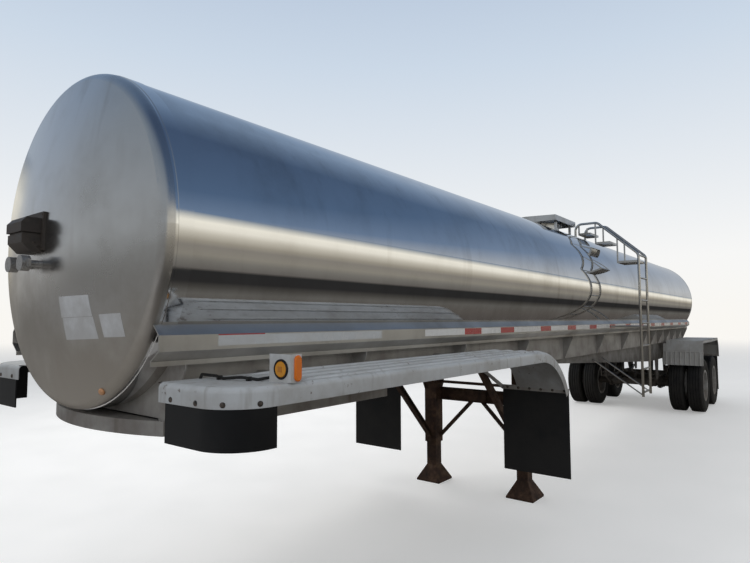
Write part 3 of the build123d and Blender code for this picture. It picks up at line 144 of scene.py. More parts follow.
world = bpy.data.worlds.new("studio")
bpy.context.scene.world = world
world.use_nodes = True
dome = world.node_tree
dome.nodes.clear()
toward = put(dome, "SeparateXYZ", {0: put(dome, "TexCoord").outputs["Generated"]}).outputs
backdrop = ramp(dome, toward["Z"], [
    (0.0, (0.95, 0.93, 0.89)), (0.10, (0.93, 0.93, 0.92)), (0.42, (0.60, 0.69, 0.80)),
    (0.75, (0.30, 0.40, 0.58)),
])
deep = ramp(dome, toward["Z"], [
    (0.0, (0.50, 0.49, 0.47)), (0.10, (0.52, 0.54, 0.56)), (0.30, (0.16, 0.23, 0.35)),
    (0.50, (0.085, 0.140, 0.240)), (0.95, (0.055, 0.090, 0.165)),
])
bright = ramp(dome, toward["Z"], [
    (0.0, (0.55, 0.54, 0.52)), (0.25, (0.46, 0.52, 0.60)), (0.60, (0.24, 0.33, 0.47)),
    (0.95, (0.13, 0.20, 0.32)),
])
ahead_sky = ramp(dome, toward["Z"], [
    (0.0, (0.17, 0.165, 0.15)), (0.035, (0.18, 0.175, 0.165)), (0.075, (0.47, 0.49, 0.50)),
    (0.30, (0.38, 0.41, 0.44)), (0.60, (0.25, 0.30, 0.36)), (0.95, (0.09, 0.13, 0.21)),
])
rearward = span(dome, toward["X"], -0.82, -1.70)
rightward = span(dome, toward["Y"], 0.10, -0.30)
forward = span(dome, toward["X"], 0.25, 0.60)
mirrored = blend(dome, calc(dome, "MAXIMUM", rearward, rightward), deep, bright)
mirrored = blend(dome, forward, mirrored, ahead_sky)
path = put(dome, "LightPath").outputs
soft = put(dome, "Background", {"Color": (0.80, 0.84, 0.90, 1), "Strength": 0.50})
shown = put(dome, "Background", {"Color": backdrop, "Strength": 1.0})
shone = put(dome, "Background", {"Color": mirrored, "Strength": 1.0})
clear = calc(dome, "MAXIMUM", path["Is Glossy Ray"], path["Is Transmission Ray"])
mixed = put(dome, "MixShader", {0: clear, 1: soft.outputs[0], 2: shone.outputs[0]})
mixed = put(dome, "MixShader", {0: path["Is Camera Ray"], 1: mixed.outputs[0], 2: shown.outputs[0]})
put(dome, "OutputWorld", {"Surface": mixed.outputs[0]})


def soft_box(name, place, aim, size, watts, colour):
    """Rectangular lamp at a place, facing a point, unseen by the camera and by polished metal."""
    lamp = bpy.data.lights.new(name, "AREA")
    lamp.shape = "RECTANGLE"
    lamp.size, lamp.size_y = size
    lamp.energy = watts
    lamp.color = colour
    holder = bpy.data.objects.new(name, lamp)
    along = np.subtract(aim, place) / np.linalg.norm(np.subtract(aim, place))
    side = np.cross(along, (0, 0, 1))
    side /= np.linalg.norm(side)
    holder.matrix_world = stance(side, np.cross(side, along), along, place)
    holder.visible_camera = False
    holder.visible_glossy = False
    bpy.context.scene.collection.objects.link(holder)


soft_box("side_box", (-10.0, 7.0, 2.65), (-10.0, 0.0, 2.65), (30.0, 2.7), 170, (1.0, 0.96, 0.88))
soft_box("top_box", (2.0, -7.0, 9.0), (0.0, 0.0, 1.5), (14.0, 7.0), 520, (1.0, 0.98, 0.95))
soft_box("front_box", (13.0, 4.0, 5.0), (5.0, 0.5, 1.8), (5.0, 4.0), 120, (0.93, 0.96, 1.0))


def stage_sheet(name, corners, finish):
    """Flat four-cornered piece of the stage."""
    mesh = bpy.data.meshes.new(name)
    mesh.from_pydata(corners, [], [(0, 1, 2, 3)])
    mesh.materials.append(finish)
    sheet = bpy.data.objects.new(name, mesh)
    bpy.context.scene.collection.objects.link(sheet)
    return sheet


def blank_finish(name):
    """Material with no nodes yet. Returns it and its tree."""
    finish = bpy.data.materials.new(name)
    finish.use_nodes = True
    finish.node_tree.nodes.clear()
    return finish, finish.node_tree


floor_finish, tree = blank_finish("studio_floor")
spot = spot_on(tree)
paving = ramp(tree, noise(tree, spot, 1.3, 5), [(0.3, (0.80, 0.80, 0.79)), (0.7, (0.87, 0.865, 0.855))])
path = put(tree, "LightPath").outputs
seen = path["Is Camera Ray"]
# Rays other than the camera's see a darker floor: in polished metal it shows dark, a painted reflection of
# shaded ground, and it throws back less light.
floor_for_reflection_and_bounce = blend(tree, path["Is Glossy Ray"], (0.16, 0.15, 0.14, 1), (0.66, 0.63, 0.59, 1))
matt = put(tree, "BsdfDiffuse", {"Color": blend(tree, seen, floor_for_reflection_and_bounce, paving)})
lift = span(tree, seen, 0.0, 1.0, 0.0, 0.30)
lift = put(tree, "Emission", {"Color": (0.95, 0.95, 0.94, 1), "Strength": lift})
matt = put(tree, "AddShader", {0: matt.outputs[0], 1: lift.outputs[0]})
haze = span(tree, seen, 0.0, 1.0, 0.22, 1.0)
haze = put(tree, "Emission", {"Color": (0.95, 0.93, 0.89, 1), "Strength": haze})
far = put(tree, "VectorMath", {0: spot}, operation="LENGTH").outputs["Value"]
cover = put(tree, "MixShader", {0: between(tree, far, 14.0, 55.0), 1: matt.outputs[0], 2: haze.outputs[0]})
put(tree, "OutputMaterial", {"Surface": cover.outputs[0]})
stage_sheet("floor", [(-90, -90, 0), (90, -90, 0), (90, 90, 0), (-90, 90, 0)], floor_finish)


def card_finish(name, axis, low, high, stops):
    """Glowing card, a painted reflection that only polished metal sees, whose colour runs between stops along
    one axis, the same on both sides of the tank.
    """
    finish, tree = blank_finish(name)
    along = calc(tree, "ABSOLUTE", put(tree, "SeparateXYZ", {0: spot_on(tree)}).outputs[axis])
    stops = [((place - low) / (high - low), colour) for place, colour in stops]
    colour = ramp(tree, span(tree, along, low, high), stops)
    glow = put(tree, "Emission", {"Color": colour, "Strength": 1.0})
    put(tree, "OutputMaterial", {"Surface": glow.outputs[0]})
    return finish


card_y, card_top, apron_y, apron_z = 7.0, 4.7, 1.7, 0.004
card_back = -60.0
# The wall is a painted reflection: its pale band stands for a pale tank alongside the trailer.
reflection_wall_finish = card_finish("painted_reflection_wall", "Z", 0.0, card_top, [
    (0.0, (0.14, 0.13, 0.12)), (0.7, (0.20, 0.19, 0.17)), (1.2, (0.28, 0.26, 0.22)),
    (1.9, (0.26, 0.24, 0.21)), (2.3, (0.36, 0.33, 0.27)), (2.9, (0.62, 0.58, 0.49)),
    (3.4, (0.92, 0.88, 0.77)), (3.9, (1.0, 0.96, 0.84)), (4.3, (0.62, 0.62, 0.58)),
    (4.7, (0.20, 0.26, 0.35)),
])
# The apron is a painted reflection of the ground, its near black band a painted shadow.
reflection_apron_finish = card_finish("painted_reflection_apron", "Y", apron_y, card_y, [
    (1.7, (0.10, 0.09, 0.085)), (2.6, (0.12, 0.11, 0.10)), (3.4, (0.13, 0.125, 0.115)),
    (4.0, (0.07, 0.066, 0.06)), (4.6, (0.028, 0.027, 0.027)), (6.4, (0.026, 0.026, 0.026)),
    (7.0, (0.12, 0.11, 0.10)),
])
for side, name, front in ((1, "left", 12.0), (-1, "right", 6.9)):
    y, near = side * card_y, side * apron_y
    wall = [(card_back, y, 0), (front, y, 0), (front, y, card_top), (card_back, y, card_top)]
    apron = [(card_back, near, apron_z), (front, near, apron_z), (front, y, apron_z), (card_back, y, apron_z)]
    wall_card = stage_sheet(name + "_wall", wall, reflection_wall_finish)
    apron_card = stage_sheet(name + "_apron", apron, reflection_apron_finish)
    for card in (wall_card, apron_card):
        card.visible_camera = False
        card.visible_diffuse = False
        card.visible_transmission = False
        card.visible_shadow = False


# Tank: a round shell of polished stainless sheet between two dished heads of satin sheet.
# Each head has a rolled band that laps the shell and is polished with it.
def new_finish(name):
    """Material with one Principled shader. Returns the material, its tree and the shader."""
    finish, tree = blank_finish(name)
    shader = put(tree, "BsdfPrincipled")
    put(tree, "OutputMaterial", {"Surface": shader.outputs[0]})
    return finish, tree, shader


def new_group(name, inputs, outputs):
    """Shader group from (name, kind, value) inputs and (name, kind) outputs."""
    tree = bpy.data.node_groups.new(name, "ShaderNodeTree")
    for label, kind, value in inputs:
        socket = tree.interface.new_socket(label, in_out="INPUT", socket_type="NodeSocket" + kind)
        socket.default_value = value
    for label, kind in outputs:
        tree.interface.new_socket(label, in_out="OUTPUT", socket_type="NodeSocket" + kind)
    return tree, tree.nodes.new("NodeGroupInput").outputs, tree.nodes.new("NodeGroupOutput").inputs


def drawn_out(tree, spot, stretch):
    """Place with each axis multiplied, so that a pattern is drawn out along the small ones."""
    return put(tree, "VectorMath", {0: spot, 1: stretch}, operation="MULTIPLY").outputs[0]


# road film and shade: cloudy darkening, thicker from a height downwards. It is road dirt on most parts; on
# the polished shell it is partly a painted reflection of dark ground, and on the subframe partly painted
# shadow.
road_film_and_shade, given, made = new_group(
    "road_film_and_shade",
    [("Clean", "Color", (1, 1, 1, 1)), ("Dirt_and_shade", "Color", (0.2, 0.17, 0.14, 1)), ("Amount", "Float", 0.5),
     ("Scale", "Float", 3.0), ("Top", "Float", 2.0), ("Bottom", "Float", 1.0),
     ("Smooth", "Float", 0.2), ("Rough", "Float", 0.7)],
    [("Color", "Color"), ("Roughness", "Float")],
)
spot = spot_on(road_film_and_shade)
height = put(road_film_and_shade, "SeparateXYZ", {0: spot}).outputs["Z"]
lowness = calc(road_film_and_shade, "MULTIPLY", span(road_film_and_shade, height, given["Top"], given["Bottom"]), 0.45)
thick = calc(road_film_and_shade, "ADD", noise(road_film_and_shade, spot, given["Scale"], 6, 0.62), lowness)
mask = calc(road_film_and_shade, "MULTIPLY", between(road_film_and_shade, thick, 0.38, 0.95), given["Amount"])
road_film_and_shade.links.new(blend(road_film_and_shade, mask, given["Clean"], given["Dirt_and_shade"]), made["Color"])
spread = calc(road_film_and_shade, "MULTIPLY", calc(road_film_and_shade, "SUBTRACT", given["Rough"], given["Smooth"]), mask)
road_film_and_shade.links.new(calc(road_film_and_shade, "ADD", given["Smooth"], spread), made["Roughness"])

# rain runs: narrow upright streaks that come and go along their height
rain_runs, given, made = new_group(
    "rain_runs",
    [("Scale", "Float", 14.0), ("Stretch", "Float", 0.06), ("Amount", "Float", 0.5)],
    [("Mask", "Float")],
)
spot = spot_on(rain_runs)
upright = put(rain_runs, "CombineXYZ", {0: 1.0, 1: 1.0, 2: given["Stretch"]}).outputs[0]
streak = noise(rain_runs, drawn_out(rain_runs, spot, upright), given["Scale"], 3)
patch = between(rain_runs, noise(rain_runs, spot, 1.7, 2), 0.38, 0.6)
streak = calc(rain_runs, "MULTIPLY", between(rain_runs, streak, 0.52, 0.72), patch)
rain_runs.links.new(calc(rain_runs, "MULTIPLY", streak, given["Amount"]), made["Mask"])

# brushing: fine lines along the trailer, as height
brushing, given, made = new_group(
    "brushing", [("Stretch", "Vector", (1.0, 40.0, 40.0)), ("Scale", "Float", 20.0)], [("Height", "Float")])
hairs = noise(brushing, drawn_out(brushing, spot_on(brushing), given["Stretch"]), given["Scale"], 4)
brushing.links.new(hairs, made["Height"])


def pattern(tree, group, **inputs):
    """First output of a shader group whose inputs are given by name."""
    return put(tree, "Group", inputs, node_tree=group).outputs[0]


def film_and_shade_over(tree, clean, dirt, amount, scale, heights, rough):
    """Road film, on the polished shell and the subframe partly painted shade, over a clean colour: the
    film's colour, amount and scale, the heights between which it thickens, and the roughness without
    and with it. Returns the colour and the roughness."""
    film_and_shade = put(tree, "Group", {
        "Clean": (*clean, 1), "Dirt_and_shade": (*dirt, 1), "Amount": amount, "Scale": scale,
        "Top": heights[0], "Bottom": heights[1], "Smooth": rough[0], "Rough": rough[1],
    }, node_tree=road_film_and_shade)
    return film_and_shade.outputs["Color"], film_and_shade.outputs["Roughness"]


def bumps(tree, height, distance, strength):
    """Normal of a surface raised by a height between 0 and 1 times a distance."""
    return put(tree, "Bump", {"Height": height, "Distance": distance, "Strength": strength}).outputs[0]


def steel_sheet(name, colour, rough, ripple, film_and_shade, heights, hairs=0.0, polished_to=None, dulling=0.28):
    """Bare stainless sheet: a mirror or satin metal with slight ripples, a film that darkens it towards the
    bottom, and rain runs; the film adds dulling to its roughness. On the polished shell the film is partly
    real road film and partly a painted reflection of dark ground below. It is polished where it lies
    nearer than polished_to to the middle of the tank's length."""
    finish, tree, shader = new_finish(name)
    spot = spot_on(tree)
    tone, rough = film_and_shade_over(tree, colour, (0.30, 0.27, 0.23), film_and_shade, 1.6, heights, (rough, rough + dulling))
    tone = blend(tree, pattern(tree, rain_runs, Scale=9.0, Amount=0.35 * film_and_shade), tone, (0.33, 0.30, 0.26, 1))
    wave = calc(tree, "MULTIPLY", noise(tree, spot, 0.9, 2), ripple)
    wave = calc(tree, "ADD", wave, calc(tree, "MULTIPLY", pattern(tree, brushing), hairs))
    if polished_to:
        along = calc(tree, "ABSOLUTE", put(tree, "SeparateXYZ", {0: spot}).outputs["X"])
        satin = between(tree, along, polished_to - 0.004, polished_to + 0.004)
        rough = calc(tree, "MULTIPLY", rough, calc(tree, "ADD", 0.22, calc(tree, "MULTIPLY", satin, 0.78)))
        tone = blend(tree, satin, (0.78, 0.78, 0.78, 1), tone)
    bump = bumps(tree, wave, 1.0, 1.0)
    wire(tree, shader, {"Base Color": tone, "Metallic": 1.0, "Roughness": rough, "Normal": bump})
    return finish


def dress(finish, *nodes):
    """Gives nodes of the frame their finish."""
    for node in nodes:
        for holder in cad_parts[node].material_slots:
            holder.material = finish


# The shell's film is partly real road film and partly painted: its warm darkening low on the shell is a
# painted reflection of dark ground.
mirror_steel = steel_sheet("mirror_polished_stainless", (0.80, 0.80, 0.80), rough=0.015, ripple=0.0008,
                           film_and_shade=0.62, heights=(2.12, 1.45), dulling=0.12)
satin_steel = steel_sheet("satin_stainless", (0.62, 0.63, 0.64), rough=0.27, ripple=0.0012, film_and_shade=0.8,
                          heights=(2.2, 1.5), hairs=0.00002)
head_steel = steel_sheet("satin_head", (0.60, 0.60, 0.60), rough=0.21, ripple=0.0010, film_and_shade=0.8,
                         heights=(2.2, 1.5), hairs=0.00002, polished_to=rim_x + 0.026)
dress(mirror_steel, "tank_shell")
dress(head_steel, "front_head", "rear_head")


# Marks on the front head: three bare placards stuck on the dish and a small round marker lamp
# near its foot. The placards are thin plastic film, dirtier lower down.
shell_radius, head_depth, head_flange, head_knuckle = 0.850, 0.200, 0.025, 0.060
axis_z = 2.230
knuckle_ring = shell_radius - head_knuckle
dish_run = head_flange - head_depth
dish_radius = (dish_run**2 + knuckle_ring**2 - head_knuckle**2) / (-2 * (dish_run + head_knuckle))


def dish_x(y, z):
    """x of the front head at (y, z): the ball of the dish, whose centre lies on the tank's axis."""
    return rim_x + head_depth - dish_radius + np.sqrt(dish_radius**2 - y**2 - (z - axis_z) ** 2)


def grid_faces(rows, columns):
    """Quads between neighbours of a grid of points, the last column joined to the first."""
    r, c = np.meshgrid(np.arange(rows - 1), np.arange(columns), indexing="ij")
    n = (c + 1) % columns
    quads = [r * columns + c, r * columns + n, (r + 1) * columns + n, (r + 1) * columns + c]
    return np.stack(quads, -1).reshape(-1, 4)


def make_piece(name, grids, finish, body="trailer", smooth=35.0):
    """Mesh of one or many equal grids (copies, rows, columns, 3), the columns running round: quads on
    each, doubles merged, normals turned outwards, edges sharper than the smooth angle left sharp."""
    grids = np.asarray(grids, dtype=float)
    if grids.ndim == 3:
        grids = grids[None]
    copies, rows, columns, _ = grids.shape
    faces = grid_faces(rows, columns) + (np.arange(copies) * rows * columns)[:, None, None]
    mesh = bpy.data.meshes.new(name)
    mesh.from_pydata(grids.reshape(-1, 3).tolist(), [], faces.reshape(-1, 4).tolist())
    work = bmesh.new()
    work.from_mesh(mesh)
    bmesh.ops.remove_doubles(work, verts=work.verts, dist=1e-6)
    bmesh.ops.dissolve_degenerate(work, edges=work.edges, dist=1e-7)
    bmesh.ops.recalc_face_normals(work, faces=work.faces)
    work.to_mesh(mesh)
    work.free()
    mesh.materials.append(finish)
    mesh.shade_smooth()
    mesh.set_sharp_from_angle(angle=math.radians(smooth))
    piece = bpy.data.objects.new(name, mesh)
    bpy.context.scene.collection.objects.link(piece)
    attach(piece, body)
    return piece


def capped(rows):
    """Rows of a grid with one more at each end, where the end row is drawn in to its middle."""
    rows = np.asarray(rows, dtype=float)
    return np.concatenate([rows[:1] * 0 + rows[0].mean(0), rows, rows[-1:] * 0 + rows[-1].mean(0)])


def turned(profile, sides):
    """Closed surface turned about +Z: (radius, height) points of a profile carried round a circle."""
    profile = np.asarray(profile, dtype=float)
    angle = np.linspace(0, 2 * np.pi, sides, endpoint=False)
    radius, rise = profile[:, :1], profile[:, 1:]
    return np.stack([radius * np.cos(angle), radius * np.sin(angle), rise + 0 * angle], -1)


def placed(shape, places, facing):
    """Copies of a shape, its +Z turned to each facing and its origin at each place."""
    places = np.atleast_2d(np.asarray(places, dtype=float))
    facing = np.broadcast_to(np.asarray(facing, dtype=float), places.shape)
    facing = facing / np.linalg.norm(facing, axis=1, keepdims=True)
    helper = np.where(np.abs(facing[:, 2:]) > 0.9, [[1.0, 0.0, 0.0]], [[0.0, 0.0, 1.0]])
    first = np.cross(helper, facing)
    first /= np.linalg.norm(first, axis=1, keepdims=True)
    turn = np.stack([first, np.cross(facing, first), facing], 1)
    return np.einsum("rci,nij->nrcj", shape, turn) + places[:, None, None, :]


def film_and_shade_finish(name, grain=None, extra=None, **film_and_shade):
    """Paint, plastic or rubber under road film, on the subframe partly painted shade, as
    film_and_shade_over takes it. A grain is the scale, detail, height and strength of a fine noise. Extra
    are other inputs of the shader."""
    finish, tree, shader = new_finish(name)
    tone, rough = film_and_shade_over(tree, **film_and_shade)
    wire(tree, shader, {"Base Color": tone, "Roughness": rough, **(extra or {})})
    if grain:
        scale, detail, distance, strength = grain
        speckle = noise(tree, spot_on(tree), scale, detail)
        wire(tree, shader, {"Normal": bumps(tree, speckle, distance, strength)})
    return finish


sticker_finish = film_and_shade_finish(
    "white_film", clean=(0.78, 0.79, 0.80), dirt=(0.42, 0.40, 0.37), amount=0.55, scale=11.0,
    heights=(2.0, 1.7), rough=(0.3, 0.55))
film_back, film_front = -0.001, 0.0006
# corners (y, z): top right, top left, bottom left, bottom right
placards = {
    "placard_upper": ((0.131, 1.935), (0.374, 1.938), (0.392, 1.842), (0.140, 1.836)),
    "placard_lower": ((0.150, 1.834), (0.396, 1.840), (0.418, 1.740), (0.160, 1.731)),
    "placard_side": ((0.440, 1.849), (0.579, 1.855), (0.592, 1.751), (0.457, 1.747)),
}
u = np.linspace(0, 1, 13)[:, None, None]
v = np.linspace(0, 1, 9)[:, None]
for name, corners in placards.items():
    a, b, c, d = np.array(corners)
    flat = (1 - v) * ((1 - u) * a + u * b) + v * ((1 - u) * d + u * c)
    y, z = flat[..., 0], flat[..., 1]
    front, back = (np.stack([dish_x(y, z) + lift, y, z], -1) for lift in (film_front, film_back))
    make_piece(name, capped(np.concatenate([front, back[:, ::-1]], 1)), sticker_finish)

marker_finish, tree, shader = new_finish("amber_marker")
wire(tree, shader, {"Base Color": (0.72, 0.36, 0.17, 1), "Roughness": 0.3})
marker_y, marker_z = 0.364, 1.496
marker_ring = math.hypot(marker_y, marker_z - axis_z)
knuckle_rise = math.sqrt(head_knuckle**2 - (marker_ring - knuckle_ring) ** 2)
outwards = (marker_ring - knuckle_ring) / marker_ring
marker_face = (knuckle_rise, marker_y * outwards, (marker_z - axis_z) * outwards)
marker_place = (rim_x + head_flange + knuckle_rise, marker_y, marker_z)
marker_dome = turned([(0.0, -0.01), (0.017, -0.01), (0.017, 0.004), (0.013, 0.009), (0.0, 0.011)], 20)
make_piece("head_marker", placed(marker_dome, marker_place, marker_face), marker_finish)


# Side rails and frame: folded and welded stainless sheet in its dull mill finish, darker towards
# the bottom. Thin gussets tie the frame to the rails.
mill_steel = steel_sheet("mill_finish_stainless", (0.60, 0.60, 0.59), rough=0.36, ripple=0.0008, film_and_shade=0.9,
                         heights=(1.85, 1.2), hairs=0.00004)
dress(mill_steel, "side_rail_left", "side_rail_right")
frame_finish, tree, shader = new_finish("weathered_frame")
tone, rough = film_and_shade_over(tree, clean=(0.43, 0.42, 0.40), dirt=(0.17, 0.14, 0.12), amount=0.8, scale=3.2,
                        heights=(1.75, 0.6), rough=(0.42, 0.8))
tone = blend(tree, pattern(tree, rain_runs, Scale=16.0, Amount=0.5), tone, (0.14, 0.11, 0.09, 1))
wire(tree, shader, {"Base Color": tone, "Metallic": 0.35, "Roughness": rough})
dress(frame_finish, "frame_rail_left", "frame_rail_right", "tank_saddles", "upper_coupler")
# The subframe and cross members are painted darker than the frame above them, a painted shadow under the
# frame's web where they are set in, with road film over it.
shaded_subframe_finish = film_and_shade_finish(
    "dirty_subframe", clean=(0.26, 0.255, 0.245), dirt=(0.085, 0.072, 0.062), amount=0.85, scale=3.6,
    heights=(1.45, 0.9), rough=(0.5, 0.85), extra={"Metallic": 0.3})
dress(shaded_subframe_finish, "cross_members", "subframe_left", "subframe_right")


def plate(outline, axis, start, thickness):
    """Plate square to an axis (0, 1 or 2): an outline in the other two, carried along it and closed."""
    outline = np.asarray(outline, dtype=float)
    return capped([np.insert(outline, axis, at, axis=1) for at in (start, start + thickness)])


def block(low, high):
    """Rectangular bar between two opposite corners."""
    (x0, y0, z0), (x1, y1, z1) = low, high
    return plate([(y0, z0), (y1, z0), (y1, z1), (y0, z1)], 0, x0, x1 - x0)


def both_sides(grids):
    """The given grids and their mirror images across the middle of the trailer."""
    grids = np.asarray(grids, dtype=float)
    return np.concatenate([grids, grids * [1, -1, 1]])


# three more gussets a side over the tandem, half way between those of the frame
frame_y, frame_low = 0.600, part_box("frame_rail_left")[0][2]
gusset_in, gusset_foot, gusset_out = frame_y - 0.004, 0.610, 0.7149
gusset_out_low, gusset_high, gusset_sheet = 1.600, 1.644, 0.008
first_gusset, gusset_pitch = 6.4135, 1.3022
gusset = [(gusset_in, frame_low), (gusset_foot, frame_low), (gusset_out, gusset_out_low),
          (gusset_out, gusset_high), (gusset_in, gusset_high)]
gussets = [plate(gusset, 0, first_gusset - gusset_pitch * (bay + 0.5), gusset_sheet) for bay in (7, 8, 9)]
make_piece("tandem_gussets", both_sides(gussets), frame_finish)


# Reflective tape: stuck along both rail faces in white and red lengths of thin plastic film with a
# honeycomb of cells. The front stretch has faded and one red length is nearly worn away.
def tape(name, clean, dirt, glow):
    """Plastic film over a honeycomb, whose clear coat is as strong as its glow."""
    finish, tree, shader = new_finish(name)
    tone, rough = film_and_shade_over(tree, clean, dirt, amount=0.6, scale=7.0, heights=(1.9, 1.2), rough=(0.2, 0.5))
    cells = put(tree, "TexVoronoi", {"Vector": spot_on(tree), "Scale": 220.0}, feature="DISTANCE_TO_EDGE")
    bump = bumps(tree, cells.outputs["Distance"], 0.0004, 0.5)
    wire(tree, shader, {"Base Color": tone, "Roughness": rough, "Normal": bump, "Coat Weight": glow,
                        "Coat Roughness": 0.08})
    return finish


tape_white = tape("white_reflective_tape", (0.83, 0.83, 0.82), (0.55, 0.52, 0.47), 0.5)
tape_faded = tape("faded_reflective_tape", (0.62, 0.64, 0.65), (0.44, 0.42, 0.39), 0.1)
tape_red = tape("red_reflective_tape", (0.46, 0.035, 0.04), (0.30, 0.08, 0.07), 0.5)
tape_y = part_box("side_rail_left")[1][1] - 0.0002
tape_low, tape_high, tape_film, remnant_width = 1.704, 1.752, 0.0007, 0.006
red_starts = [2.588, 3.242, 4.173, 4.977, 5.776, 6.656, 7.498, 8.34, 9.18, 10.02, 10.86, 11.70, 12.50]
red_length, white_start, tape_end = 0.285, 2.01, 12.98
red_runs = [(start, start + red_length) for start in red_starts]
white_runs = [(white_start, red_starts[0])]
white_runs += [(start + red_length, end) for start, end in zip(red_starts, red_starts[1:] + [tape_end])]


def strips(runs, low, high):
    """Thin closed strips on both rail faces, one for each (start, end) run."""
    ends = [((rim_x - end, tape_y, low), (rim_x - start, tape_y + tape_film, high)) for start, end in runs]
    return both_sides([block(*corners) for corners in ends])


make_piece("tape_white", strips(white_runs, tape_low, tape_high), tape_white)
make_piece("tape_faded", strips([(0.25, 1.50)], tape_low, tape_high), tape_faded)
make_piece("tape_red", strips(red_runs, tape_low, tape_high), tape_red)
make_piece("tape_remnant", strips([(0.25, 0.53)], tape_high, tape_high + remnant_width), tape_red)


# Kingpin: a turned steel pin set in the coupler's plate, under black paint and caked road dirt
# that it shares with the axles.
dark_finish = film_and_shade_finish(
    "dirty_black_paint", clean=(0.035, 0.034, 0.033), dirt=(0.13, 0.11, 0.09), amount=0.75, scale=5.0,
    heights=(1.4, 0.3), rough=(0.45, 0.85))
dress(dark_finish, "kingpin")


# Connection box on the front head: a moulded black box with a groove round its middle, on a bolted
# steel flange, with two air couplings of cast metal below it.
box_finish = film_and_shade_finish(
    "sun_bleached_black", clean=(0.022, 0.020, 0.019), dirt=(0.10, 0.08, 0.065), amount=0.6, scale=14.0,
    heights=(2.5, 2.1), rough=(0.45, 0.8), grain=(260.0, 3, 0.0008, 0.4))
cast_finish, tree, shader = new_finish("cast_alloy")
grain = noise(tree, spot_on(tree), 120.0, 4)
tone = ramp(tree, grain, [(0.35, (0.30, 0.29, 0.28)), (0.65, (0.48, 0.47, 0.46))])
bump = bumps(tree, grain, 0.0015, 0.5)
wire(tree, shader, {"Base Color": tone, "Metallic": 0.7, "Roughness": 0.5, "Normal": bump})
dress(cast_finish, "gladhands")
bolt_finish, tree, shader = new_finish("dull_bolts")
grain = noise(tree, spot_on(tree), 70.0, 4)
tone = ramp(tree, grain, [(0.4, (0.05, 0.045, 0.04)), (0.65, (0.16, 0.13, 0.11))])
wire(tree, shader, {"Base Color": tone, "Metallic": 0.6, "Roughness": 0.6})


def round_head(size):
    """Low domed bolt head, closed below and above."""
    return turned(size * np.array([(0, -0.2), (1, -0.2), (1, 0.1), (0.75, 0.38), (0.35, 0.5), (0, 0.53)]), 10)


box_right, box_left, box_back, box_front = -0.200, -0.020, 6.732, 6.838
# lid, groove and base: how far each is drawn in at its sides, the heights of its back, and its front
# line as (distance behind the box's front, height)
casing_courses = [
    (0.0, (2.252, 2.325), [(0.0, 2.252), (0.0, 2.298), (0.024, 2.325)]),
    (0.010, (2.240, 2.254), [(0.012, 2.240), (0.012, 2.247), (0.012, 2.254)]),
    (0.004, (2.157, 2.244), [(0.048, 2.157), (0.006, 2.200), (0.006, 2.244)]),
]
casing = []
for inset, (low, high), front_line in casing_courses:
    outline = [(box_back, low)] + [(box_front - behind, z) for behind, z in front_line] + [(box_back, high)]
    casing.append(plate(outline, 1, box_right + inset, box_left - box_right - 2 * inset))
connection_box = make_piece("connection_box", casing, box_finish)
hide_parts("nose_box")
flange_back, flange_front, flange_low, flange_high, flange_width = 6.7261, 6.7485, 2.167, 2.357, 0.220
flange = block((flange_back, -flange_width, flange_low), (flange_front, 0.0, flange_high))
make_piece("connection_box_flange", flange, box_finish)
flange_bolts = [(flange_front, y, z) for y in (-0.208, -0.012) for z in (2.345, 2.180)]
side_bolts = [(x, box_left - 0.004, z) for x, z in ((box_front - 0.060, 2.205), (box_back + 0.030, 2.185))]
box_bolts = placed(round_head(0.007), flange_bolts + side_bolts, [(1, 0, 0)] * 4 + [(0, 1, 0)] * 2)
make_piece("connection_box_bolts", box_bolts, bolt_finish)


# Front fenders: pale painted sheet with beads pressed along its top, chalky and streaked, with bolts
# through the lip that hold the rubber skirt and a row through the bar that the flap hangs from.

# chips: small ragged spots where the paint is gone
chips, given, made = new_group(
    "chips", [("Scale", "Float", 18.0), ("Amount", "Float", 0.3)], [("Mask", "Float")])
spot = spot_on(chips)
ragged = noise(chips, spot, given["Scale"], 8, 0.7)
ragged = calc(chips, "ADD", ragged, calc(chips, "MULTIPLY", noise(chips, spot, 2.3, 2), 0.25))
edge = calc(chips, "SUBTRACT", 0.86, calc(chips, "MULTIPLY", given["Amount"], 0.5))
chips.links.new(between(chips, ragged, edge, calc(chips, "ADD", edge, 0.05)), made["Mask"])

chalk_finish, tree, shader = new_finish("chalky_pale_paint")
tone, rough = film_and_shade_over(tree, clean=(0.60, 0.62, 0.63), dirt=(0.36, 0.34, 0.31), amount=0.75, scale=4.5,
                        heights=(1.62, 1.1), rough=(0.38, 0.7))
run = pattern(tree, rain_runs, Scale=22.0, Stretch=0.12, Amount=0.55)
bare = pattern(tree, chips, Scale=26.0, Amount=0.22)
tone = blend(tree, bare, blend(tree, run, tone, (0.30, 0.28, 0.25, 1)), (0.20, 0.17, 0.15, 1))
bump = bumps(tree, calc(tree, "SUBTRACT", 1.0, bare), 0.0006, 0.5)
wire(tree, shader, {"Base Color": tone, "Roughness": rough, "Normal": bump})

fender_top, bend_start, bend_radius, fender_tail_z = 1.560, 3.030, 0.700, 1.185
fender_inner, fender_outer, fender_corner = 0.745, 1.235, 0.210
fender_lip, fender_fold, fender_sheet = 0.084, 0.026, 0.004
bend_sweep = math.acos(1 - (fender_top - fender_tail_z) / bend_radius)
bend_x = rim_x - bend_start
front_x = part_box("front_fender_left")[1][0]
corner_x, corner_y = front_x - fender_corner, fender_outer - fender_corner


def plan_line(front_y, side_x, steps):
    """Fender's edge in plan, along its front, round the corner, which is a quarter circle, and back along
    its side: (x, y) points, and the outward (x, y) at each."""
    turn = np.linspace(0, np.pi / 2, steps)
    out = np.column_stack([np.cos(turn), np.sin(turn)])
    line = np.concatenate([
        np.column_stack([np.full(len(front_y), front_x), front_y]),
        fender_corner * out + [corner_x, corner_y],
        np.column_stack([side_x, np.full(len(side_x), fender_outer)]),
    ])
    outward = [np.tile((1.0, 0.0), (len(front_y), 1)), out, np.tile((0.0, 1.0), (len(side_x), 1))]
    return line, np.concatenate(outward)


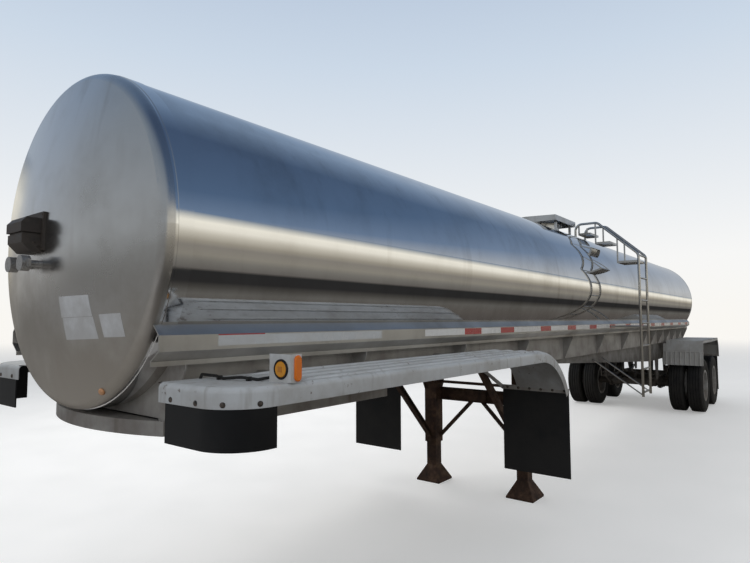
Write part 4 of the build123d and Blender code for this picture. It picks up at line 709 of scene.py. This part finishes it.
def fender_skin(inset):
    """One face of the fender, moved in by inset. Rows follow the lip: along the front, round the
    corner, back along the side and down the bend. Columns run up the lip, round the fold, which is a
    quarter circle, and in across the top to the inner edge."""
    front_y, side_x = np.linspace(fender_inner, corner_y, 8)[:-1], np.linspace(corner_x, bend_x, 12)[1:]
    edge, outward = plan_line(front_y, side_x, 15)
    angle = np.linspace(0, np.pi / 2, 7)
    fold = fender_fold - inset
    back = np.concatenate([[inset], fender_fold - fold * np.cos(angle)])
    height = np.concatenate([[fender_top - fender_lip], fender_top - fender_fold + fold * np.sin(angle)])
    plan = edge[:, None] - back[:, None] * outward[:, None]
    level = np.concatenate([plan, np.broadcast_to(height[:, None], plan.shape[:2] + (1,))], 2)
    inner_x = np.linspace(front_x, bend_x, len(edge))
    inside = np.column_stack([inner_x, 0 * inner_x + fender_inner, 0 * inner_x + fender_top - inset])
    level = np.concatenate([level, inside[:, None]], 1)
    sweep = np.linspace(0, bend_sweep, 22)[1:, None]
    reach = bend_radius - (fender_top - level[-1, :, 2])
    drop = fender_top - bend_radius + reach * np.cos(sweep)
    bend = np.stack([bend_x - reach * np.sin(sweep), level[-1, :, 1] + 0 * sweep, drop], -1)
    return np.concatenate([level, bend])


def sheet(outer, inner):
    """Thin closed wall between two faces. Each end is closed to the line midway between them."""
    ends = [(outer[:1] + inner[:1]) / 2, (outer[-1:] + inner[-1:]) / 2]
    rows = [(ends[0], ends[0]), (outer, inner), (ends[1], ends[1])]
    return np.concatenate([np.concatenate([front, back[:, ::-1]], 1) for front, back in rows])


def tube(points, radius, sides=10):
    """Closed round tube: a circle carried square to its path, each end drawn in to its middle."""
    points = np.asarray(points, dtype=float)
    along = np.gradient(points, axis=0)
    along /= np.linalg.norm(along, axis=1, keepdims=True)
    helper = np.eye(3)[np.argmin(np.ptp(points, axis=0))]
    first = np.cross(along, helper)
    first /= np.linalg.norm(first, axis=1, keepdims=True)
    second = np.cross(along, first)
    angle = np.linspace(0, 2 * np.pi, sides, endpoint=False)[:, None]
    ring = np.cos(angle) * first[:, None] + np.sin(angle) * second[:, None]
    return capped(points[:, None] + radius * ring)


pressed = sheet(fender_skin(0.0), fender_skin(fender_sheet))
arm_radius, arm_end, arm_z, arm_stations = 0.025, 1.135, fender_top - 0.027, (0.650, 2.420)
arms = np.array([
    tube(np.linspace((rim_x - station, frame_y, arm_z), (rim_x - station, arm_end, arm_z), 3), arm_radius, 16)
    for station in arm_stations
])
sides = {"left": 1, "right": -1}
for side_name, side in sides.items():
    skin = pressed * [1, side, 1]
    piece = make_piece("pressed_fender_" + side_name, skin, chalk_finish, smooth=50)
    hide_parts("front_fender_" + side_name)
    make_piece("fender_arms_" + side_name, arms * [1, side, 1], frame_finish)

bead_start, bead_radius, bead_sunk, bead_rows = 0.380, 0.013, 0.004, 72
bead_inner, bead_outer, bead_count = 0.807, 1.173, 4


def fender_beads():
    """Half-round beads along the fender: part of a circle across, carried along the fender's top, which
    is level and then an arc down to its tail, and drawn in to nothing at both ends."""
    flat = bend_start - bead_start
    run = np.linspace(0, flat + bend_radius * bend_sweep, bead_rows)[:, None]
    turn = np.clip((run - flat) / bend_radius, 0, None)
    x = rim_x - (bead_start + np.minimum(run, flat)) - bend_radius * np.sin(turn)
    z = fender_top - bend_radius * (1 - np.cos(turn))
    angle = np.linspace(-0.2, np.pi + 0.2, 9)
    swell = np.ones((bead_rows, 1))
    swell[:3, 0] = (0.0, 0.6, 0.9)
    swell[-1] = 0.0
    rise = bead_radius * np.sin(angle) * swell - bead_sunk
    across = bead_radius * np.cos(angle) * swell
    middles = np.linspace(bead_inner, bead_outer, bead_count)
    return [np.stack([x - np.sin(turn) * rise, y + across, z + np.cos(turn) * rise], -1) for y in middles]


make_piece("fender_beads", both_sides(fender_beads()), chalk_finish)

# flat bar across the tail that the flap hangs from, with its brace up to the frame
tail_x = bend_x - bend_radius * math.sin(bend_sweep)
flap_bar, flap_bar_low, flap_bar_high, flap_bar_in, flap_bar_out = 0.008, 1.165, 1.207, 0.590, 1.231
brace_far, brace_near, brace_plate = tail_x + 0.40, tail_x + 0.33, 0.010
brace = [(tail_x, flap_bar_low), (brace_far, frame_low), (brace_near, frame_low), (tail_x, flap_bar_high)]
hangers = [
    block((tail_x, flap_bar_in, flap_bar_low), (tail_x + flap_bar, flap_bar_out, flap_bar_high)),
    plate(brace, 1, flap_bar_in, brace_plate),
]
make_piece("flap_hangers", both_sides(hangers), frame_finish)

# bolts of the lip, two in front and two round the corner, and of the flap's bar
bolt_z, front_bolts, corner_turns = fender_top - fender_lip + 0.018, (0.836, 1.009), (0.567, 1.262)
corner_out = [np.array([math.cos(turn), math.sin(turn), 0]) for turn in corner_turns]
lip_facing = [(1, 0, 0)] * len(front_bolts) + corner_out
lip_places = [(front_x, y, bolt_z) for y in front_bolts]
lip_places += [fender_corner * out + [corner_x, corner_y, bolt_z] for out in corner_out]
lip_bolts = placed(round_head(0.012), lip_places, lip_facing)
flap_bar_z = (flap_bar_low + flap_bar_high) / 2
flap_places = [(tail_x + flap_bar, y, flap_bar_z) for y in np.linspace(0.65, 1.19, 6)]
flap_bolts = placed(round_head(0.013), flap_places, (1, 0, 0))
make_piece("fender_bolts", both_sides(np.concatenate([lip_bolts, flap_bolts])), bolt_finish)


# Lamp plates: bent sheet on each front fender, with a round amber lamp in a rubber ring facing
# forward, an upright amber reflector on the side, and a black loom clipped to the fender behind it.
def lens_plastic(name, colour, scale=150.0, rough=0.18, coat=0.6, coat_rough=0.05):
    """Clear coloured plastic with square prisms moulded in it."""
    finish, tree, shader = new_finish(name)
    prisms = put(tree, "TexVoronoi", {"Vector": spot_on(tree), "Scale": scale}, distance="CHEBYCHEV")
    bump = bumps(tree, prisms.outputs["Distance"], 0.002, 0.35)
    wire(tree, shader, {"Base Color": (*colour, 1), "Roughness": rough, "Normal": bump, "Coat Weight": coat,
                        "Coat Roughness": coat_rough})
    return finish


plate_finish = film_and_shade_finish(
    "lamp_plate_sheet", clean=(0.66, 0.67, 0.67), dirt=(0.38, 0.36, 0.33), amount=0.6, scale=12.0,
    heights=(1.75, 1.5), rough=(0.4, 0.6))
ring_finish, tree, shader = new_finish("lamp_ring_rubber")
wire(tree, shader, {"Base Color": (0.010, 0.010, 0.010, 1), "Roughness": 0.6})
amber_front = lens_plastic("amber_front_lens", (0.74, 0.30, 0.010))
amber_side = lens_plastic("amber_side_lens", (0.92, 0.21, 0.012))
amber_centre = lens_plastic("amber_lens_centre", (0.55, 0.20, 0.010))
(wing_back, plate_in, plate_low), (plate_front, plate_out, plate_high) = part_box("lamp_plate_left")
plate_sheet, plate_foot = 0.003, 0.030
front_back, wing_in = plate_front - plate_sheet, plate_out - plate_sheet
plate_blocks = np.array([
    block((front_back, plate_in, plate_low), (plate_front, plate_out, plate_high)),
    block((wing_back, wing_in, plate_low), (front_back, plate_out, plate_high)),
    block((plate_front - plate_foot, plate_in, plate_low), (front_back, wing_in, plate_low + plate_sheet)),
])
lamp_place = np.array([plate_front, plate_out - 0.057, (plate_low + plate_high) / 2 - 0.004])
grommet = turned([(0.0, -0.004), (0.040, -0.004), (0.0425, -0.002), (0.0425, 0.004), (0.040, 0.0065),
                  (0.035, 0.0065), (0.033, 0.002), (0.0, 0.002)], 40)
front_lens = turned([(0.0, 0.0), (0.0335, 0.0), (0.0335, 0.004), (0.031, 0.0065), (0.016, 0.008),
                     (0.0, 0.0085)], 40)
lens_square = block((0.006, -0.012, -0.012), (0.0095, 0.012, 0.012)) + lamp_place
# side lens: two half circles joined by straight sides, its three rings (rise, share of full size)
side_x, side_half, side_short = wing_back + 0.0245, 0.0195, 0.004
side_z = (plate_low + plate_high) / 2
round_end = np.linspace(0, np.pi, 9)
end_rise = plate_high - side_short - side_half - side_z
half_line = np.column_stack([side_half * np.cos(round_end), end_rise + side_half * np.sin(round_end)])
side_line = np.concatenate([half_line, -half_line])
side_rings = [
    np.insert(side_line * [share, 0.5 + share / 2] + [side_x, side_z], 1, plate_out + rise, axis=1)
    for rise, share in ((-0.002, 1.0), (0.006, 1.0), (0.0095, 0.82))
]
for side_name, side in sides.items():
    turn = [1, side, 1]
    bent = make_piece("lamp_plate_bent_" + side_name, plate_blocks * turn, plate_finish)
    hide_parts("lamp_plate_" + side_name)
    ring = placed(grommet, lamp_place, (1, 0, 0)) * turn
    make_piece("lamp_grommet_" + side_name, ring, ring_finish)
    glass = placed(front_lens, lamp_place, (1, 0, 0)) * turn
    lens = make_piece("front_lens_" + side_name, glass, amber_front)
    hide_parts("amber_lenses_" + side_name)
    make_piece("lens_centre_" + side_name, lens_square * turn, amber_centre)
    make_piece("side_lens_" + side_name, capped(side_rings) * turn, amber_side)

loom_finish, tree, shader = new_finish("black_loom")
rings = put(tree, "TexWave", {"Vector": spot_on(tree), "Scale": 60.0, "Distortion": 0.4},
            bands_direction="DIAGONAL")
bump = bumps(tree, rings.outputs["Fac"], 0.002, 0.5)
wire(tree, shader, {"Base Color": (0.012, 0.011, 0.010, 1), "Roughness": 0.55, "Normal": bump})


def bowed(corners, count):
    """Smooth line through the given points, each coordinate a cosine blend between neighbours."""
    corners = np.asarray(corners, dtype=float)
    at = np.linspace(0, len(corners) - 1, count)
    low = np.minimum(at.astype(int), len(corners) - 2)
    share = ((1 - np.cos(np.pi * (at - low))) / 2)[:, None]
    return corners[low] * (1 - share) + corners[low + 1] * share


loom_radius = 0.007
loom_top = fender_top + loom_radius
plate_back = wing_back + 0.004
loom_line = [
    (rim_x - 0.160, 0.752, loom_top - 0.045), (rim_x - 0.170, 0.772, loom_top + 0.012),
    (rim_x - 0.195, 0.840, loom_top + 0.008), (rim_x - 0.190, 0.900, loom_top),
    (rim_x - 0.215, 0.985, loom_top + 0.008), (rim_x - 0.250, 1.060, loom_top),
    (plate_back - 0.012, 1.100, loom_top + 0.012), (plate_back - 0.006, 1.150, loom_top + 0.040),
]
make_piece("lamp_loom", both_sides([tube(bowed(loom_line, 64), loom_radius)]), loom_finish)
clip_places = np.array([(rim_x - 0.192, 0.870, fender_top), (rim_x - 0.232, 1.020, fender_top)])
clips = [block(place + [-0.012, -0.006, -0.002], place + [0.012, 0.006, 0.018]) for place in clip_places]
make_piece("loom_clips", both_sides(clips), loom_finish)


# Rubber skirts and mud flaps: near black sheet rubber with pale dust. The skirts are bolted behind
# the lips of the front fenders and the flaps hang from bars.
rubber_finish = film_and_shade_finish(
    "flap_rubber", clean=(0.006, 0.0065, 0.008), dirt=(0.040, 0.038, 0.036), amount=0.6, scale=3.0,
    heights=(1.3, 0.3), rough=(0.55, 0.85), extra={"Specular IOR Level": 0.3})
dress(rubber_finish, "front_flaps", "rear_flaps")
skirt_low, skirt_high, skirt_gap, skirt_rubber = 1.310, 1.530, 0.0045, 0.008
skirt_inner, skirt_tail = 0.790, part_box("front_skirts")[0][0]
skirt_y, skirt_x = np.linspace(skirt_inner, corner_y, 7)[:-1], np.linspace(corner_x, skirt_tail, 4)[1:]
plan, outward = plan_line(skirt_y, skirt_x, 19)
section = [(skirt_gap, skirt_low), (skirt_gap, skirt_high), (skirt_gap + skirt_rubber, skirt_high),
           (skirt_gap + skirt_rubber, skirt_low)]
skirt = capped(np.stack([np.insert(plan - back * outward, 2, z, axis=1) for back, z in section], 1))
skirts = make_piece("fender_skirts", both_sides([skirt]), rubber_finish)
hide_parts("front_skirts")


# Landing gear: square telescoping legs on flared shoes, rusted all over under thin dust. Plates at
# each leg's head carry it from the frame, a channel runs forward and up from its foot, and a cross
# channel with two slanting tubes joins the legs.
rust_finish, tree, shader = new_finish("rusty_steel")
spot = spot_on(tree)
tone = ramp(tree, noise(tree, spot, 9.0, 9, 0.68), [
    (0.30, (0.020, 0.014, 0.011)), (0.48, (0.062, 0.033, 0.021)), (0.62, (0.115, 0.066, 0.040)),
    (0.75, (0.17, 0.135, 0.11)),
])
bump = bumps(tree, noise(tree, spot, 90.0, 6), 0.003, 0.6)
wire(tree, shader, {"Base Color": tone, "Roughness": 0.85, "Metallic": 0.1, "Normal": bump})
dress(rust_finish, "landing_leg_left", "landing_leg_right", "landing_drive")
leg_x, leg_y, leg_half, leg_foot = rim_x - 4.240, 0.545, 0.073, 0.430
leg_in, leg_out = leg_y - leg_half, leg_y + leg_half
fin_out, fin_low, fin_taper, fin_plate, fin_proud = 0.038, 0.255, 0.070, 0.008, 0.001
fins = []
for turn in (1, -1):
    near, edge = leg_x + turn * leg_half, leg_x + turn * (leg_half + fin_out)
    knee, foot = frame_low - fin_low, frame_low - fin_low - fin_taper
    fin = [(leg_x, frame_low), (edge, frame_low), (edge, knee), (near, foot), (leg_x, foot)]
    fins += [plate(fin, 1, y, fin_plate) for y in (leg_in - fin_proud, leg_out + fin_proud - fin_plate)]
make_piece("leg_head_plates", both_sides(fins), rust_finish)

strut_front, strut_foot, strut_run, strut_depth = leg_x + leg_half, leg_foot + 0.030, 0.900, 0.088
strut_half, strut_wall = 0.022, 0.008
strut_slope = (frame_low - strut_foot) / strut_run


def strut_edge(low, high):
    """Slanting strip between two heights above the strut's lower line, cut off by the frame."""
    return [(strut_front, strut_foot + low), (strut_front + strut_run - low / strut_slope, frame_low),
            (strut_front + strut_run - high / strut_slope, frame_low), (strut_front, strut_foot + high)]


wall_rise = strut_wall * math.hypot(1, strut_slope)
strut_in, strut_inner_run = leg_y - strut_half, 2 * strut_half - strut_wall
struts = [
    plate(strut_edge(0, strut_depth), 1, strut_in + strut_inner_run, strut_wall),
    plate(strut_edge(0, wall_rise), 1, strut_in, strut_inner_run),
    plate(strut_edge(strut_depth - wall_rise, strut_depth), 1, strut_in, strut_inner_run),
]
make_piece("leg_struts", both_sides(struts), rust_finish)

cross_back, cross_face, cross_low, cross_high, cross_wall = leg_x - 0.053, leg_x - 0.010, 0.910, 1.050, 0.010
pad_half = 0.110
cross_plates = [
    block((cross_back, -leg_in, cross_low), (cross_back + cross_wall, leg_in, cross_high)),
    block((cross_back, -leg_in, cross_low), (cross_face, leg_in, cross_low + cross_wall)),
    block((cross_back, -leg_in, cross_high - cross_wall), (cross_face, leg_in, cross_high)),
    block((cross_back, -pad_half, cross_low), (cross_face, pad_half, cross_high)),
]
make_piece("leg_cross_channel", cross_plates, rust_finish)
brace_radius, brace_foot, brace_head = 0.022, (leg_in + 0.010, 0.494), (0.055, 0.930)
brace_x = cross_back + brace_radius
slant = tube(np.linspace((brace_x, *brace_foot), (brace_x, *brace_head), 5), brace_radius, 14)
braces = make_piece("leg_slant_tubes", both_sides([slant]), rust_finish)
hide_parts("landing_braces")


# Axles, springs and air reservoirs: forged and rolled steel, black paint under caked road dirt. The
# springs are clamped to the axles by U-bolts, and an arm runs from each axle to the hanger before it.
dress(dark_finish, "axle_front", "axle_rear", "leaf_springs", "air_reservoirs")
axle_stations = {"front": 11.400, "rear": 12.670}
hanger_places = [rim_x - 10.825, rim_x - 12.035, rim_x - 13.245]
spring_y, spring_half, axle_z, axle_radius = 0.470, 0.0375, 0.518, 0.0635
pack_top, spring_end = 0.6595, 0.7225
clamp_half, clamp_width, clamp_plate, clamp_sunk = 0.090, 0.054, 0.012, 0.002
ubolt_radius, ubolt_out, ubolt_bend, ubolt_top, ubolt_gap = 0.008, 0.0465, 0.018, 0.016, 0.001


def rounded_path(corners, bend, steps=6):
    """Straight runs joined at each corner by a curve between the points a bend's length before and
    after it: (1-t)^2 first + 2t(1-t) corner + t^2 second."""
    corners = np.asarray(corners, dtype=float)
    t = np.linspace(0, 1, steps)[:, None]
    path = [corners[:1]]
    for before, here, after in zip(corners, corners[1:], corners[2:]):
        first = here + bend * (before - here) / np.linalg.norm(before - here)
        second = here + bend * (after - here) / np.linalg.norm(after - here)
        path.append((1 - t) ** 2 * first + 2 * t * (1 - t) * here + t**2 * second)
    return np.concatenate(path + [corners[-1:]])


def arm_eye(half, radius=0.027, bulge=0.001):
    """Rubber-bushed eye at an arm's end, turned about its pin."""
    profile = [(0, -half), (radius, -half), (radius + bulge, -half + bulge), (radius + bulge, half - bulge),
               (radius, half), (0, half)]
    return turned(profile, 18)


ubolts, clamp_plates, arms, eyes = [], [], [], []
axle_low = axle_z - axle_radius
arm_radius, arm_ahead, arm_foot_z, arm_head_z = 0.019, 0.095, axle_low - clamp_plate / 2, 0.674
ubolt_foot, ubolt_head = axle_low - 2 * clamp_plate, pack_top + ubolt_top
ubolt_line = [(-ubolt_out, ubolt_foot), (-ubolt_out, ubolt_head), (ubolt_out, ubolt_head),
              (ubolt_out, ubolt_foot)]
for station, hanger_x in zip(axle_stations.values(), hanger_places):
    x = rim_x - station
    clamp_plates += [
        block((x - clamp_half, spring_y - clamp_width, axle_low - clamp_plate),
              (x + clamp_half, spring_y + clamp_width, axle_low)),
        block((x - clamp_half, spring_y - spring_half, pack_top - clamp_sunk),
              (x + clamp_half, spring_y + spring_half, pack_top + clamp_plate)),
    ]
    for turn in (1, -1):
        bolt_x = x + turn * (axle_radius + ubolt_radius + ubolt_gap)
        line = [(bolt_x, spring_y + out, z) for out, z in ubolt_line]
        ubolts.append(tube(rounded_path(line, ubolt_bend), ubolt_radius))
    foot, head = (x + arm_ahead, spring_y, arm_foot_z), (hanger_x, spring_y, arm_head_z)
    arms.append(tube(np.linspace(foot, head, 5), arm_radius, 14))
    eyes += [placed(arm_eye(half), place, (0, 1, 0))[0] for place, half in ((foot, 0.028), (head, 0.0405))]
for name, grids in {"spring_ubolts": ubolts, "spring_clamp_plates": clamp_plates, "suspension_arms": arms,
                    "suspension_arm_eyes": eyes}.items():
    make_piece(name, both_sides(grids), dark_finish)

# rocking beam in the middle hanger and wear pads in the others
beam_half, beam_top_half, beam_edge, beam_rise = 0.165, 0.055, 0.037, 0.110
beam_line = [(-beam_half, 0), (beam_half, 0), (beam_half, beam_edge), (beam_top_half, beam_rise),
             (-beam_top_half, beam_rise), (-beam_half, beam_edge)]
beam = plate(np.array(beam_line) + [hanger_places[1], spring_end], 1, spring_y - spring_half, 2 * spring_half)
make_piece("spring_rockers", both_sides([beam]), dark_finish)
pad_length, pad_width, pad_rise = 0.060, 0.040, 0.022
pads = [block((x - pad_length, spring_y - pad_width, spring_end),
              (x + pad_length, spring_y + pad_width, spring_end + pad_rise)) for x in hanger_places[::2]]
make_piece("spring_wear_pads", both_sides(pads), dark_finish)


# Wheels: two tyres on disc rims bolted to one hub. The tyres have four grooves round the tread,
# slots across the shoulders and a raised bead line on the wall.
wheel_finish = film_and_shade_finish(
    "dusty_wheel_paint", clean=(0.52, 0.52, 0.51), dirt=(0.20, 0.17, 0.14), amount=0.85, scale=6.0,
    heights=(1.1, 0.0), rough=(0.4, 0.85))
tyre_finish = film_and_shade_finish(
    "tyre_rubber", clean=(0.008, 0.008, 0.009), dirt=(0.050, 0.047, 0.042), amount=0.6, scale=7.0,
    heights=(1.2, 0.0), rough=(0.6, 0.9), grain=(160.0, 3, 0.001, 0.4), extra={"Specular IOR Level": 0.3})
tyre_radius, tyre_steps, slot_step, slot_depth = 0.518, 160, 4, 0.007
shoulder_out, shoulder_up = 0.085, 0.478
# half section, outside in: (radius, half width)
tyre_section = [
    (0.288, 0.100), (0.292, 0.118), (0.322, 0.124), (0.330, 0.129), (0.338, 0.126), (0.390, 0.1378),
    (0.430, 0.1378), (0.470, 0.1300), (0.484, 0.1235), (0.500, 0.1150), (0.511, 0.1080), (0.516, 0.094),
    (0.517, 0.078), (0.501, 0.075), (0.501, 0.067), (0.5175, 0.064), (0.518, 0.030), (0.502, 0.027),
    (0.502, 0.019), (0.518, 0.016),
]


def tyre(middle_y, side, x):
    """Section carried round the wheel axis. The shoulder rows dip where the slots cross them."""
    half = np.array(tyre_section)
    radius, out = np.concatenate([half * [1, -1], half[::-1]]).T[:, :, None]
    angle = np.linspace(0, 2 * np.pi, tyre_steps, endpoint=False)
    shoulder = (np.abs(out) > shoulder_out) & (radius > shoulder_up)
    slot = np.arange(tyre_steps) % slot_step == 0
    radius = radius - slot_depth * (shoulder & slot)
    y = side * (middle_y + out) + 0 * angle
    return np.stack([x + radius * np.cos(angle), y, tyre_radius + radius * np.sin(angle)], -1)


def nut_head(size):
    """Washer and hexagonal nut on it, closed below and above."""
    profile = [(0, -0.2), (1.25, -0.2), (1.25, 0.12), (0.98, 0.14), (0.98, 0.7), (0.8, 0.82), (0, 0.82)]
    return turned(size * np.array(profile), 6)


twin_middles, nut_circle, nut_y, nut_size = (1.1435, 0.8195), 0.1429, 0.9935, 0.017
nut_turns = np.linspace(0, 2 * np.pi, 10, endpoint=False)
nut_ring = nut_circle * np.column_stack([np.cos(nut_turns), 0 * nut_turns, np.sin(nut_turns)])
for axle, station in axle_stations.items():
    for side_name, side in sides.items():
        x = rim_x - station
        wheel = f"{axle}_{side_name}"
        body = "wheels_" + wheel
        grids = [tyre(middle, side, x) for middle in twin_middles]
        piece = make_piece("road_tyres_" + wheel, grids, tyre_finish, body, smooth=30)
        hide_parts("tyres_" + wheel)
        dress(wheel_finish, "wheel_hub_" + wheel)
        nuts = placed(nut_head(nut_size), nut_ring + [x, side * nut_y, tyre_radius], (0, side, 0))
        make_piece("wheel_nuts_" + wheel, nuts, bolt_finish, body)


# Rear fenders, bumper and lamps: pale painted sheet over the tandem, ribbed at its front and turned
# down in a lip along its side, a square bumper tube on two posts, and round red lamps.
red_lens = lens_plastic("red_lens", (0.42, 0.012, 0.012), scale=130.0, rough=0.15, coat=0.7, coat_rough=0.03)
dress(red_lens, "tail_lamps")
dress(frame_finish, "rear_bumper")
dress(chalk_finish, "rear_fender_left", "rear_fender_right")
rear_inner, rear_outer, lip_sheet = 0.606, 1.295, 0.004
# (x, z) down the front, along the top and down the back: the sheet's face and the lip's lower edge
rear_line = [(-4.4275, 0.925), (-4.4875, 1.180), (-4.5115, 1.405), (-6.7125, 1.405), (-6.8325, 1.240),
             (-6.8625, 0.985)]
lip_line = [(-4.4830, 0.925), (-4.5430, 1.168), (-4.5610, 1.350), (-6.6900, 1.350), (-6.7790, 1.222),
            (-6.8080, 0.985)]
rib_radius, rib_inset, rib_count, rib_lift, fold_radius = 0.013, 0.050, 8, 0.004, 0.007
(foot_x, foot_z), (head_x, head_z) = rear_line[:2]
ribs = [tube(np.linspace((foot_x, y, foot_z + rib_lift), (head_x, y, head_z), 4), rib_radius)
        for y in np.linspace(rear_inner + rib_inset, rear_outer - rib_inset, rib_count)]
make_piece("rear_fender_ribs", both_sides(ribs), chalk_finish)
fold = tube(np.linspace((head_x, rear_inner, head_z), (head_x, rear_outer, head_z), 4), fold_radius, 8)
make_piece("rear_fender_folds", both_sides([fold]), chalk_finish)
lip_in = rear_outer - lip_sheet
lip_corners = [(rear_line, lip_in), (rear_line, rear_outer), (lip_line, rear_outer), (lip_line, lip_in)]
lip = capped(np.stack([np.insert(line, 1, y, axis=1) for line, y in lip_corners], 1))
make_piece("rear_fender_lips", both_sides([lip]), chalk_finish)


# Ladder and treads: bent stainless tube, dull from weather, with welded rungs and folded treads. It
# stands off the side of the tank on braces and bends over its shoulder to the manhole.
tube_steel = steel_sheet("dull_stainless_tube", (0.58, 0.58, 0.57), rough=0.24, ripple=0.0, film_and_shade=0.7,
                         heights=(2.6, 0.7))
dress(tube_steel, "ladder_rails", "ladder_rungs", "ladder_braces", "ladder_treads")


# Manhole and outlet: neck, domed cover and the box lid on its hinge pins, in satin sheet. Six clamps
# hold the cover, each a lug below its rim, a bar over it and a bolt through both.
dress(satin_steel, "manhole_neck", "manhole_cover", "box_lid", "outlet_valve")
cover_x, cover_foot, cover_edge = 0.4125, 3.098, 0.014
clamp_turns = np.radians(60 * (np.arange(6) + 0.5))


def around_cover(shape):
    """The shape once for each clamp, turned about the cover's middle by equal steps."""
    copies = []
    for turn in clamp_turns:
        c, s = math.cos(turn), math.sin(turn)
        copies.append(shape @ np.array([[c, s, 0], [-s, c, 0], [0, 0, 1]]) + [cover_x, 0, cover_foot])
    return copies


lugs = around_cover(block((0.274, -0.014, -0.032), (0.342, 0.014, -0.008)))
bars = around_cover(block((0.296, -0.012, cover_edge), (0.342, 0.012, cover_edge + 0.008)))
make_piece("cover_clamps", lugs + bars, tube_steel)
bolt_out = 0.330
stem = [(0, -0.020), (0.008, -0.020), (0.008, 0.024), (0.013, 0.024), (0.013, 0.034), (0.010, 0.037),
        (0, 0.037)]
make_piece("cover_clamp_bolts", around_cover(turned(stem, 6) + [bolt_out, 0, 0]), bolt_finish)
